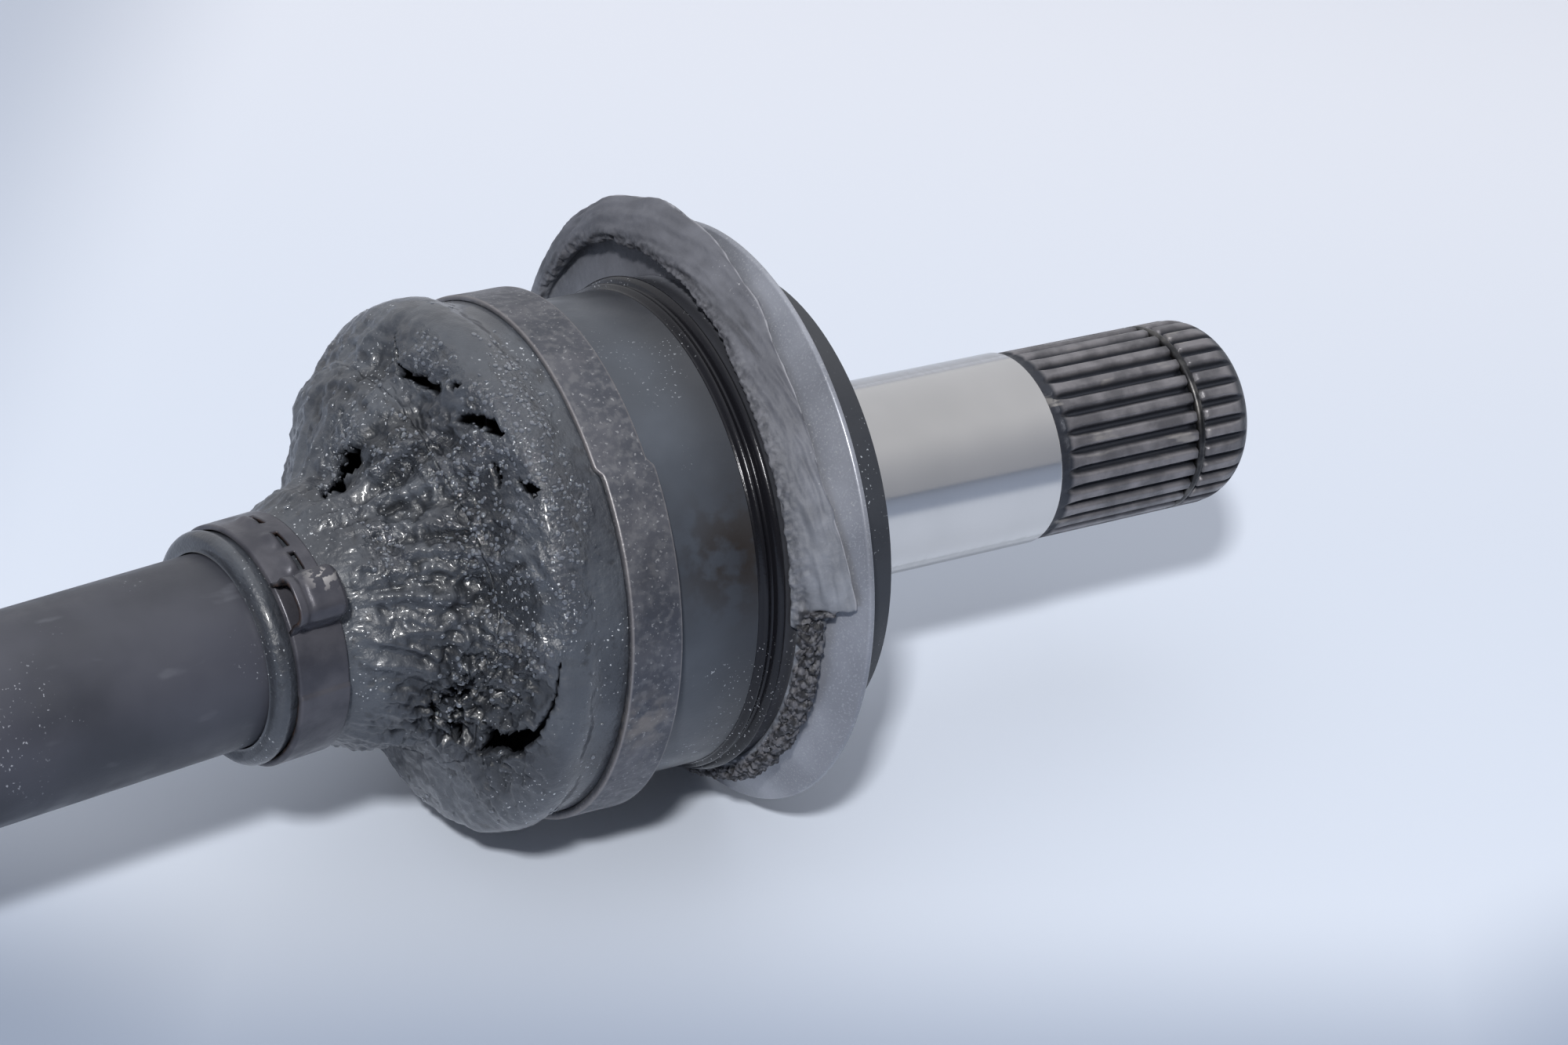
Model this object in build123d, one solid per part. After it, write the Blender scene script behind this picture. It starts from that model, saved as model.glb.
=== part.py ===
from build123d import *
import math
import os

# Plug-in half shaft: a tripod plunging joint at the inner end, a hollow bar, and a ball joint at the outer
# end. All sizes are in millimetres. The origin is the centre of the ground seal journal on the inner stub,
# +X points along the stub to its nose and +Z is up. The bar is bent 7.5 degrees in the inner joint.

# Layout
SEAL_TO_JOINT = 75.0        # seal journal centre to the inner joint's centre
CENTRES = 470.0             # inner joint's centre to the outer joint's centre
REST_BEND = 7.5             # degrees, how far the bar is swung about +Z as the shaft lies
RUNNING = 0.3               # gap between parts that move on each other
SEAT = 0.02                 # gap between a pressed part and its seat
WAYS = 3                    # tripod arms

# Inner joint housing and its stub
CAN_R = 44.5
CAN_RIM = -20.0             # every place on the inner joint is measured from its centre
CAN_FLOOR = 42.0
CAN_MOUTH_R = 29.5
CAN_BORE_R = 22.0
CAN_MOUTH_DEPTH = 22.0
RIM_CHAMFER = 1.5
TRACK_FILLET = 2.0
TRACK_CEILING_GAP = 0.5
SHIELD_SEAT_START = 15.0
SHIELD_SEAT_STEP = 0.5      # how far the shield's seat is turned down
BASE_SHOULDER_X = 43.0
BASE_TAPER_R = 33.0
BASE_TAPER_END = 47.5
WELD_X = 51.0
WELD_R = 20.5
JOURNAL_R = 19.0
JOURNAL_START = 52.0
JOURNAL_END = 98.4
RELIEF_R = 18.3
RELIEF_LENGTH = 1.8
STUB_SPLINE_R = 18.6
STUB_ROOT_R = 17.1
STUB_TEETH = 30
STUB_RUNOUT = 4.0
NOSE_X = 147.5
NOSE_ROUND = 8.5
RING_GROOVE_X = 132.4
RING_WIRE = 1.7
RING_GROOVE_R = 16.9
RING_GAP = 40.0             # degrees left open in a snap ring

# Dust shield and the rubber seal on its hub
SHIELD_PLATE = 10.6         # how far the plate stands out from the can
SHIELD_RIM_X = 31.5
SHIELD_DISH = 6.0
SHIELD_SHEET = 1.3
SHIELD_SLEEVE = 1.5
BEAD_1_X = 16.3
BEAD_1_RISE = 1.1
BEAD_2_X = 19.0
BEAD_2_RISE = 2.1
BEAD_WIDTH = 1.4
SEAL_START = 20.3
SEAL_LENGTH = 4.6
SEAL_ROOT = 2.6             # the ring's and the lip's reach from the shield's sleeve
SEAL_LIP = 9.5
SEAL_LIP_X = 26.4
SEAL_LIP_THICK = 1.8
SEAL_LIP_INSET = 1.0        # how far inside the ring's face the lip starts
SEAL_LEAN = 8.0             # how far the peeled lip leans out to one side
SEAL_LEAN_TO = 166.0        # degrees round from the camera side, -Y, over the top
SEAL_TORN_FROM = 10.0
SEAL_TORN_TO = 205.0

# Tripod and its three roller units
PITCH_R = 27.0
ROLLER_R = 16.0
ROLLER_HALF = 6.25
ROLLER_CHAMFER = 1.5
ROLLER_WALL = 2.1
NEEDLE_R = 1.0
NEEDLES = 24
NEEDLE_GAP = 0.05
INNER_RING_BORE_R = 9.95
WASHER = 0.6
TRUNNION_R = 8.8
TRUNNION_NECK_R = 6.2
TRUNNION_CUT = 5.5
HUB_R = 19.8
HUB_HALF = 13.0

# Bar
BAR_R = 17.3
BAR_WALL = 3.8
NECK_R = 13.0
NECK_END = 46.0
TAPER_END = 55.0
END_BORE_R = 5.0
SPLINE_R = 12.5
SPLINE_ROOT_R = 11.6
SPLINE_TEETH = 26
SPLINE_GAP = 0.05
SHAFT_TAIL = 4.5
CLIP_THICK = 1.5
CLIP_R = 14.4
CLIP_GROOVE_R = 11.0

# Outer joint
BALLS = 6
BALL_R = 8.5
BALL_PITCH_R = 30.0
GROOVE_SPARE = 1.1
RACE_DROP = 3.5             # the race, cage and cup are round balls, one in the other
RACE_HALF = 12.0
CAGE_GAP = 0.5
CAGE_WALL = 5.0
CAGE_HALF = 11.5
WINDOW_SPARE = 1.5
WINDOW_FIT = 0.05
WINDOW_CORNER = 2.5
CUP_GAP = 0.4
BELL_WALL = 4.9
BELL_RIM = 13.0             # towards the bar from the outer joint's centre
BELL_BACK = 30.0            # towards the wheel
BELL_SHOULDER_X = 46.0
BELL_SHOULDER_R = 30.0
SHOULDER_STEP = 4.0         # length of the step behind the hub shoulder
SHOULDER_STEP_R = 32.0
BELL_GROOVE_OUT = 62.0      # degrees of ball groove past the centre, to the open rim
BELL_GROOVE_IN = 26.0       # and to the closed side
HUB_SPLINE_R = 14.0
HUB_SPLINE_ROOT_R = 12.8
HUB_SPLINE_TEETH = 27
HUB_SPLINE_START = 50.0
HUB_SPLINE_END = 90.0
THREAD_R = 11.4
THREAD_END = 116.0
TIP_CHAMFER = 1.5

# Boots and clamps
BOOT_WALL = 2.7
BOOT_MOUTH_S = 17.5         # where the boot leaves the can
BOOT_SIDES = 24             # points round each section of the boot
BOOT_END_X = -3.4           # edge of the inner boot on the can
SMALL_BOOT_WALL = 3.0
LIP_LENGTH = 3.7
LIP_HEIGHT = 1.0
WAIST_RUN = 5.5             # from the waist to the small band
WAIST_WALL = 5.7            # the waist's outside, above the bar
BAND_SHEET = 0.8
BIG_BAND_WIDTH = 10.2
BIG_BAND_X = -13.8          # edge of the large band nearest the bar
TAIL_SHEET = 0.6
TAIL_STEP = 1.0             # how far the lapped tail sits to one side
TAIL_FROM = -150.0          # degrees round from the camera side, over the top
TAIL_TO = 48.0
SMALL_BAND_WIDTH = 10.0
SMALL_BAND_S = 59.5         # along the bar from the joint's centre
EAR_HEIGHT = 7.0
EAR_LENGTH = 9.5
EAR_PINCH = 1.4
EAR_ANGLE = 47.0            # degrees round from the camera side, over the top
OUTER_BOOT_FOLDS = 4
OUTER_BOOT_LARGE_R = 40.0
OUTER_BOOT_FOLD_DEPTH = 6.5
OUTER_BOOT_MOUTH = 15.0     # towards the bar from the outer joint's centre
OUTER_BOOT_END = -2.0
OUTER_BAND_X = 1.5

ARM_NAMES = ("top", "left", "right")

JOINT_X = -SEAL_TO_JOINT
HOUSING = Pos(JOINT_X, 0, 0)
SHAFT = HOUSING * Rot(0, 0, REST_BEND)
OUTER = SHAFT * Pos(-CENTRES, 0, 0)

# Sizes that follow from those above
SHIELD_SEAT_R = CAN_R - SHIELD_SEAT_STEP
SLEEVE_IN_R = SHIELD_SEAT_R + SEAT
SLEEVE_R = SLEEVE_IN_R + SHIELD_SLEEVE
SHIELD_R = CAN_R + SHIELD_PLATE
BEAD_1_R = CAN_R + BEAD_1_RISE
BEAD_2_R = CAN_R + BEAD_2_RISE
SEAL_ROOT_R = SLEEVE_R + SEAL_ROOT
SEAL_LIP_R = SLEEVE_R + SEAL_LIP
GROOVE_R = BALL_R + GROOVE_SPARE
RACE_R = BALL_PITCH_R - RACE_DROP
CAGE_IN_R = RACE_R + CAGE_GAP
CAGE_OUT_R = CAGE_IN_R + CAGE_WALL
CUP_R = CAGE_OUT_R + CUP_GAP
BELL_R = BALL_PITCH_R + GROOVE_R + BELL_WALL
WRAP_R = CAN_R + BOOT_WALL
BELL_WRAP_R = BELL_R + BOOT_WALL
SMALL_WRAP_R = BAR_R + SMALL_BOOT_WALL
LIP_S = SMALL_BAND_S + SMALL_BAND_WIDTH + LIP_LENGTH
WAIST_S = SMALL_BAND_S - WAIST_RUN
WAIST_R = BAR_R + WAIST_WALL
ROLLER_BORE_R = ROLLER_R - ROLLER_WALL
NEEDLE_PITCH_R = ROLLER_BORE_R - NEEDLE_GAP - NEEDLE_R
INNER_RING_R = NEEDLE_PITCH_R - NEEDLE_R - NEEDLE_GAP

# Inner boot, from its mouth to its waist: share of the way along, how far its outside has swelled from the
# waist's radius to the can's, and share of the bend that the section has taken
BOOT_SECTIONS = [
    (0.0, 1.012, 0.0),
    (0.12, 1.05, 0.1),
    (0.26, 1.01, 0.3),
    (0.37, 0.82, 0.5),
    (0.465, 0.52, 0.65),
    (0.59, 0.27, 0.8),
    (0.78, 0.13, 0.95),
    (1.0, -0.012, 1.0),
]
# Lobes and hollows of the collapsed boot: share of the way along and degrees round from the camera side, the
# reach of each, and the rise as a share of the swelling from waist to can
BOOT_LOBES = [
    (0.56, 134.0, 0.16, 30.0, 0.38),
    (0.575, 97.0, 0.12, 18.0, 0.16),
    (0.78, 103.0, 0.1, 14.0, -0.1),
    (0.43, 84.0, 0.065, 28.0, -0.12),
    (0.67, 36.0, 0.14, 22.0, 0.09),
    (0.53, -14.0, 0.12, 15.0, -0.27),
    (0.59, -76.0, 0.18, 30.0, -0.2),
]


def turned(points, arc=360.0):
    """A closed outline of (x, radius) points turned about the X axis."""
    return revolve(make_face(Polyline(*points, close=True)), Axis.X, arc)


def plain_ring(x_from, x_to, r_in, r_out, arc=360.0):
    """A plain ring round the X axis."""
    return turned([(x_from, r_in), (x_to, r_in), (x_to, r_out), (x_from, r_out)], arc)


def toothed(x_from, x_to, tip_r, root_r, teeth):
    """A straight-sided spline along the X axis, with its teeth a little under half the pitch."""
    step = 2 * math.pi / teeth
    outline = []
    for tooth in range(teeth):
        for share, r in ((-0.32, root_r), (-0.17, tip_r), (0.17, tip_r), (0.32, root_r)):
            turn = (tooth + share) * step
            outline.append((r * math.cos(turn), r * math.sin(turn)))
    face = Plane.YZ * make_face(Polyline(*outline, close=True))
    return Pos(x_from, 0, 0) * extrude(face, x_to - x_from, dir=(1, 0, 0))


def on_arm(way):
    """Places a roller unit, made along +Z, on one of the tripod's arms."""
    return Rot(360.0 * way / WAYS, 0, 0)


def on_ball(ball):
    """Places a ball pocket, made along +Z, round the outer joint."""
    return Rot(360.0 * ball / BALLS, 0, 0)


def snap_ring(x, width, r_in, r_out):
    """A flat snap ring, open by a gap at its lower side."""
    ring = plain_ring(x, x + width, r_in, r_out, 360.0 - RING_GAP)
    return Rot(RING_GAP / 2 - 90.0, 0, 0) * ring


# Inner joint

def roller_track():
    """The straight channel that one roller runs in, along +Z from the joint's axis."""
    height = PITCH_R + ROLLER_HALF + TRACK_CEILING_GAP
    width = 2 * (ROLLER_R + RUNNING)
    depth = CAN_FLOOR - CAN_RIM
    channel = Pos((CAN_FLOOR + CAN_RIM) / 2, 0, height / 2) * Box(depth, width, height)
    return fillet(channel.edges().filter_by(Axis.X).sort_by(Axis.Z)[-2:], TRACK_FILLET)


def inner_joint_housing():
    """Round can with three roller tracks, a flared mouth and a tapered base."""
    can = turned([
        (CAN_RIM, 0), (CAN_RIM, CAN_R - RIM_CHAMFER), (CAN_RIM + RIM_CHAMFER, CAN_R),
        (SHIELD_SEAT_START, CAN_R), (SHIELD_SEAT_START, SHIELD_SEAT_R), (BASE_SHOULDER_X, SHIELD_SEAT_R),
        (BASE_TAPER_END, BASE_TAPER_R), (WELD_X, WELD_R), (WELD_X, 0),
    ])
    mouth_end = CAN_RIM + CAN_MOUTH_DEPTH
    can -= turned([
        (CAN_RIM, 0), (CAN_RIM, CAN_MOUTH_R), (mouth_end, CAN_BORE_R), (CAN_FLOOR, CAN_BORE_R), (CAN_FLOOR, 0),
    ])
    for way in range(WAYS):
        can -= on_arm(way) * roller_track()
    return HOUSING * can


def inner_stub_shaft():
    """Stub welded to the can: ground seal journal, relief, toothed end and round nose."""
    shank = turned([
        (WELD_X, 0), (WELD_X, WELD_R), (JOURNAL_START, JOURNAL_R), (JOURNAL_END, JOURNAL_R),
        (JOURNAL_END, RELIEF_R), (JOURNAL_END + RELIEF_LENGTH, RELIEF_R), (JOURNAL_END + RELIEF_LENGTH, 0),
    ])
    teeth_start = JOURNAL_END + RELIEF_LENGTH
    teeth = toothed(teeth_start, NOSE_X, STUB_SPLINE_R, STUB_ROOT_R, STUB_TEETH)
    teeth += turned([
        (teeth_start, 0), (teeth_start, RELIEF_R), (teeth_start + STUB_RUNOUT, STUB_ROOT_R),
        (teeth_start + STUB_RUNOUT, 0),
    ])
    blank = Pos((teeth_start + NOSE_X) / 2, 0, 0) * Rot(0, 90, 0)
    blank *= Cylinder(STUB_SPLINE_R, NOSE_X - teeth_start)
    teeth &= fillet(blank.edges().sort_by(Axis.X)[-1], NOSE_ROUND)
    half = RING_WIRE / 2 + RUNNING
    teeth -= plain_ring(RING_GROOVE_X - half, RING_GROOVE_X + half, RING_GROOVE_R, CAN_R)
    return HOUSING * (shank + teeth)


def stub_snap_ring():
    """Round-wire ring that holds the stub in the gear; open at its lower side."""
    mean_r = RING_GROOVE_R + RING_WIRE / 2 + SEAT
    wire = Pos(RING_GROOVE_X, mean_r, 0) * Circle(RING_WIRE / 2)
    ring = revolve(wire, Axis.X, 360.0 - RING_GAP)
    return HOUSING * Rot(RING_GAP / 2 - 90.0, 0, 0) * ring


def dust_shield():
    """Pressed steel sleeve with two beads and a dished plate."""
    plate_x = SHIELD_RIM_X - SHIELD_DISH
    half = BEAD_WIDTH / 2
    return HOUSING * turned([
        (SHIELD_SEAT_START, SLEEVE_IN_R), (SHIELD_SEAT_START, CAN_R),
        (BEAD_1_X - half, BEAD_1_R - half), (BEAD_1_X, BEAD_1_R), (BEAD_1_X + half, BEAD_1_R - half),
        (BEAD_2_X - half, BEAD_2_R - half), (BEAD_2_X, BEAD_2_R), (BEAD_2_X + half, BEAD_2_R - half),
        (BEAD_2_X + half, SLEEVE_R), (plate_x, SLEEVE_R), (SHIELD_RIM_X, SHIELD_R),
        (SHIELD_RIM_X + SHIELD_SHEET, SHIELD_R), (plate_x + SHIELD_SHEET, SLEEVE_R - SHIELD_SHEET / 2),
        (plate_x + SHIELD_SHEET, SLEEVE_IN_R),
    ])


def lip_cone(inside):
    """The form under the peeled lip: a cone from the sleeve that leans to one side."""
    lean = math.radians(SEAL_LEAN_TO)
    foot = Pos(SEAL_START + SEAL_LIP_INSET, 0, 0) * Rot(0, 90, 0) * Circle(inside + SEAL_LIP_INSET)
    crest = Pos(SEAL_LIP_X, -SEAL_LEAN * math.cos(lean), SEAL_LEAN * math.sin(lean)) * Rot(0, 90, 0)
    return loft([foot, crest * Circle(SEAL_LIP_R)])


def dust_seal():
    """Rubber ring on the shield's sleeve. Its lip is peeled over the top and torn off over the lower side."""
    inside = SLEEVE_R + SEAT
    seal_end = SEAL_START + SEAL_LENGTH
    whole = turned([
        (SEAL_START, inside), (SEAL_LIP_X, inside), (SEAL_LIP_X, SEAL_LIP_R + SEAL_LEAN),
        (SEAL_START, SEAL_LIP_R + SEAL_LEAN),
    ], SEAL_TORN_TO - SEAL_TORN_FROM)
    kept = Rot(180.0 - SEAL_TORN_TO, 0, 0) * whole
    lip = (lip_cone(inside) - Pos(SEAL_LIP_THICK, 0, 0) * lip_cone(inside)) & kept
    return HOUSING * (plain_ring(SEAL_START, seal_end, inside, SEAL_ROOT_R) + lip)


# Tripod

def tripod_spider():
    """Hub on the bar's spline with three arms that end in truncated balls."""
    hub = Sphere(HUB_R) & Box(2 * HUB_HALF, 2 * HUB_R, 2 * HUB_R)
    for way in range(WAYS):
        neck = Cylinder(TRUNNION_NECK_R, PITCH_R, align=(Align.CENTER, Align.CENTER, Align.MIN))
        head = Pos(0, 0, PITCH_R) * Sphere(TRUNNION_R)
        keep = PITCH_R + TRUNNION_CUT
        head &= Box(2 * TRUNNION_R, 2 * TRUNNION_R, keep, align=(Align.CENTER, Align.CENTER, Align.MIN))
        hub += on_arm(way) * (neck + head)
    gap = SPLINE_GAP
    hub -= toothed(-HUB_HALF, HUB_HALF, SPLINE_R + gap, SPLINE_ROOT_R + gap, SPLINE_TEETH)
    return SHAFT * hub


def arm_ring(r_in, r_out, half, chamfer=0.0):
    """A ring round +Z, at the height of a roller on its arm."""
    outline = [(r_in, -half), (r_out - chamfer, -half)]
    if chamfer > 0:
        outline += [(r_out, -half + chamfer), (r_out, half - chamfer)]
    outline += [(r_out - chamfer, half), (r_in, half)]
    face = Plane.XZ * make_face(Polyline(*outline, close=True))
    return Pos(0, 0, PITCH_R) * revolve(face, Axis.Z)


def roller_shift(way):
    """How far a roller has moved along its track to follow its arm at the rest bend."""
    side = -PITCH_R * math.sin(math.radians(360.0 * way / WAYS))
    return -side * math.sin(math.radians(REST_BEND))


def in_track(way, piece):
    """Places a piece of a roller unit in its own track at rest."""
    return HOUSING * Pos(roller_shift(way), 0, 0) * on_arm(way) * piece


def roller_outer_ring():
    """The ring that rolls along the track."""
    return arm_ring(ROLLER_BORE_R, ROLLER_R, ROLLER_HALF, ROLLER_CHAMFER)


def roller_inner_ring():
    """The ring that slides on the arm's ball."""
    return arm_ring(INNER_RING_BORE_R, INNER_RING_R, ROLLER_HALF)


def roller_needles():
    """Needle rollers between the two rings."""
    length = 2 * (ROLLER_HALF - WASHER - NEEDLE_GAP)
    needle = Pos(NEEDLE_PITCH_R, 0, PITCH_R) * Cylinder(NEEDLE_R, length)
    return Compound(children=[Rot(0, 0, 360.0 * turn / NEEDLES) * needle for turn in range(NEEDLES)])


def roller_washers():
    """The two thin washers that keep the needles in."""
    washer = arm_ring(INNER_RING_R + NEEDLE_GAP, ROLLER_BORE_R - NEEDLE_GAP, WASHER / 2)
    place = ROLLER_HALF - WASHER / 2
    return Compound(children=[Pos(0, 0, place) * washer, Pos(0, 0, -place) * washer])


# Bar

def axle_shaft():
    """Hollow bar, swaged down to a splined end at each joint."""
    inner_tip = HUB_HALF + CLIP_THICK + SHAFT_TAIL
    outer_tip = RACE_HALF + CLIP_THICK + SHAFT_TAIL
    outer_x = -CENTRES
    bar = turned([
        (-HUB_HALF, END_BORE_R), (-HUB_HALF, NECK_R), (-NECK_END, NECK_R), (-TAPER_END, BAR_R),
        (outer_x + TAPER_END, BAR_R), (outer_x + NECK_END, NECK_R), (outer_x + RACE_HALF, NECK_R),
        (outer_x + RACE_HALF, END_BORE_R), (outer_x + NECK_END, END_BORE_R),
        (outer_x + TAPER_END, BAR_R - BAR_WALL), (-TAPER_END, BAR_R - BAR_WALL), (-NECK_END, END_BORE_R),
    ])
    inner_end = toothed(-HUB_HALF, inner_tip, SPLINE_R, SPLINE_ROOT_R, SPLINE_TEETH)
    outer_end = toothed(outer_x - outer_tip, outer_x + RACE_HALF, SPLINE_R, SPLINE_ROOT_R, SPLINE_TEETH)
    bar += inner_end + outer_end
    for clip_x in (HUB_HALF, outer_x - RACE_HALF - CLIP_THICK):
        bar -= plain_ring(clip_x, clip_x + CLIP_THICK, CLIP_GROOVE_R, BAR_R)
    bore = Pos((outer_x + inner_tip - outer_tip) / 2, 0, 0) * Rot(0, 90, 0)
    bar -= bore * Cylinder(END_BORE_R, CENTRES + inner_tip + outer_tip)
    return SHAFT * bar


def spider_snap_ring():
    """Ring that holds the tripod on the bar."""
    return SHAFT * snap_ring(HUB_HALF, CLIP_THICK, CLIP_GROOVE_R + SEAT, CLIP_R)


def race_snap_ring():
    """Ring that holds the inner race on the bar."""
    return OUTER * snap_ring(-RACE_HALF - CLIP_THICK, CLIP_THICK, CLIP_GROOVE_R + SEAT, CLIP_R)


# Outer joint

def groove_cutter(out_degrees, in_degrees):
    """A ball groove: a round bar bent about the joint's centre, from the rim side to the closed side."""
    section = Plane.YZ * Pos(0, BALL_PITCH_R) * Circle(GROOVE_R)
    bent = revolve(Rot(0, out_degrees, 0) * section, Axis.Y, -(out_degrees + in_degrees))
    end = Rot(0, -in_degrees, 0) * Pos(0, 0, BALL_PITCH_R) * Sphere(GROOVE_R)
    return bent + end


def inner_race():
    """Round race on the bar's outer spline, with six ball grooves."""
    race = Sphere(RACE_R) & Box(2 * RACE_HALF, 2 * RACE_R, 2 * RACE_R)
    for ball in range(BALLS):
        race -= on_ball(ball) * groove_cutter(BELL_GROOVE_OUT, BELL_GROOVE_OUT)
    gap = SPLINE_GAP
    race -= toothed(-RACE_HALF, RACE_HALF, SPLINE_R + gap, SPLINE_ROOT_R + gap, SPLINE_TEETH)
    return OUTER * race


def ball_cage():
    """Thin round cage with a window for each ball."""
    cage = (Sphere(CAGE_OUT_R) - Sphere(CAGE_IN_R)) & Box(2 * CAGE_HALF, 2 * CAGE_OUT_R, 2 * CAGE_OUT_R)
    window = Box(2 * (BALL_R + WINDOW_FIT), 2 * (BALL_R + WINDOW_SPARE), CAGE_OUT_R)
    window = fillet(window.edges().filter_by(Axis.Z), WINDOW_CORNER)
    for ball in range(BALLS):
        cage -= on_ball(ball) * Pos(0, 0, BALL_PITCH_R) * window
    return OUTER * cage


def bearing_ball(ball):
    """One of the six balls, at its place in the cage."""
    return OUTER * on_ball(ball) * Pos(0, 0, BALL_PITCH_R) * Sphere(BALL_R)


def outer_joint_bell():
    """Bell with six ball grooves, hub shoulder, toothed stem and threaded tip."""
    bell = turned([
        (BELL_RIM, 0), (BELL_RIM, BELL_R - RIM_CHAMFER), (BELL_RIM - RIM_CHAMFER, BELL_R),
        (-BELL_BACK, BELL_R), (-BELL_SHOULDER_X + SHOULDER_STEP, SHOULDER_STEP_R),
        (-BELL_SHOULDER_X, BELL_SHOULDER_R),
        (-BELL_SHOULDER_X, HUB_SPLINE_R), (-HUB_SPLINE_START, HUB_SPLINE_R),
        (-HUB_SPLINE_START, HUB_SPLINE_ROOT_R), (-HUB_SPLINE_END, HUB_SPLINE_ROOT_R),
        (-HUB_SPLINE_END - TIP_CHAMFER, THREAD_R), (-THREAD_END + TIP_CHAMFER, THREAD_R),
        (-THREAD_END, THREAD_R - TIP_CHAMFER), (-THREAD_END, 0),
    ])
    bell += toothed(-HUB_SPLINE_END, -HUB_SPLINE_START, HUB_SPLINE_R, HUB_SPLINE_ROOT_R, HUB_SPLINE_TEETH)
    bell -= Sphere(CUP_R)
    for ball in range(BALLS):
        bell -= on_ball(ball) * groove_cutter(BELL_GROOVE_OUT, BELL_GROOVE_IN)
    return OUTER * bell


# Boots and clamps

def lobe_rise(way, degrees):
    """How far the collapsed boot stands out at a place, as a share of its swelling."""
    rise = 0.0
    for at_way, at_degrees, reach, reach_round, height in BOOT_LOBES:
        turn = (degrees - at_degrees + 180.0) % 360.0 - 180.0
        rise += height * math.exp(-((way - at_way) / reach) ** 2 - (turn / reach_round) ** 2)
    return rise * min(way / BOOT_SECTIONS[1][0], 1.0)


def boot_section(way, swell, share, thinner):
    """A section of the inner boot with its lobes and hollows, part of the way round the bend."""
    outline = []
    for side in range(BOOT_SIDES):
        degrees = 360.0 * side / BOOT_SIDES
        radius = WAIST_R + (WRAP_R - WAIST_R) * (swell + lobe_rise(way, degrees)) - thinner
        turn = math.radians(degrees)
        outline.append((-radius * math.cos(turn), radius * math.sin(turn)))
    face = make_face(Plane.YZ * Spline(*outline, periodic=True))
    distance = BOOT_MOUTH_S + (WAIST_S - BOOT_MOUTH_S) * way
    return Rot(0, 0, REST_BEND * share) * Pos(-distance, 0, 0) * face


def boot_skin(thinner):
    """The inner boot's form between its two sleeves, made smaller all over by thinner."""
    return loft([boot_section(way, swell, share, thinner) for way, swell, share in BOOT_SECTIONS])


def boot_small_end():
    """A boot's sleeve on the bar: seat for its clamp, then a rounded lip."""
    band_end = SMALL_BAND_S + SMALL_BAND_WIDTH
    bead = (LIP_S - band_end) / 2
    inside = BAR_R + RUNNING
    return turned([
        (-WAIST_S, WAIST_R - BOOT_WALL), (-WAIST_S, WAIST_R), (-SMALL_BAND_S, SMALL_WRAP_R),
        (-band_end, SMALL_WRAP_R), (-band_end, SMALL_WRAP_R + LIP_HEIGHT / 2),
        (-band_end - bead / 2, SMALL_WRAP_R + LIP_HEIGHT), (-LIP_S + bead / 2, SMALL_WRAP_R + LIP_HEIGHT / 2),
        (-LIP_S, SMALL_WRAP_R - LIP_HEIGHT), (-LIP_S, inside), (-SMALL_BAND_S, inside),
    ])


def inner_boot():
    """Collapsed rubber boot: large end on the can, bulge, waist, and lip on the bar."""
    large_end = plain_ring(-BOOT_MOUTH_S, BOOT_END_X, CAN_R + SEAT, WRAP_R)
    skin = boot_skin(0.0) - boot_skin(BOOT_WALL - SEAT)
    return HOUSING * (large_end + skin + Rot(0, 0, REST_BEND) * boot_small_end())


def outer_boot():
    """Folded rubber boot of the outer joint, large end on the bell and small end on the bar."""
    pitch = (WAIST_S - OUTER_BOOT_MOUTH) / OUTER_BOOT_FOLDS
    outline = [(-OUTER_BOOT_MOUTH, BELL_WRAP_R)]
    for fold in range(OUTER_BOOT_FOLDS):
        share = fold / OUTER_BOOT_FOLDS
        crest = OUTER_BOOT_LARGE_R + (WAIST_R - OUTER_BOOT_LARGE_R) * share + OUTER_BOOT_FOLD_DEPTH / 2
        valley = crest - OUTER_BOOT_FOLD_DEPTH
        start = OUTER_BOOT_MOUTH + fold * pitch
        outline += [(-start - pitch * 0.15, valley), (-start - pitch * 0.3, valley)]
        outline += [(-start - pitch * 0.65, crest), (-start - pitch * 0.8, crest)]
    outline.append((-WAIST_S, WAIST_R))
    inside = [(x, r - BOOT_WALL) for x, r in reversed(outline)]
    large_end = plain_ring(-OUTER_BOOT_MOUTH, -OUTER_BOOT_END, BELL_R + SEAT, BELL_WRAP_R)
    boot = Rot(0, 0, 180) * (turned(outline + inside) + large_end + boot_small_end())
    return OUTER * boot


def band(edge_x, width, seat_r):
    """A flat sheet-steel band round the X axis, from edge_x towards +X."""
    return plain_ring(edge_x, edge_x + width, seat_r, seat_r + BAND_SHEET)


def overlapped_band(edge_x, seat_r):
    """A large boot clamp: a closed band with its tail lapped over the lower half, a step to one side."""
    inside = seat_r + SEAT
    tail_r = inside + BAND_SHEET
    tail = plain_ring(edge_x + TAIL_STEP, edge_x + BIG_BAND_WIDTH + TAIL_STEP, tail_r, tail_r + TAIL_SHEET,
                      TAIL_TO - TAIL_FROM)
    return band(edge_x, BIG_BAND_WIDTH, inside) + Rot(180.0 - TAIL_TO, 0, 0) * tail


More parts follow.
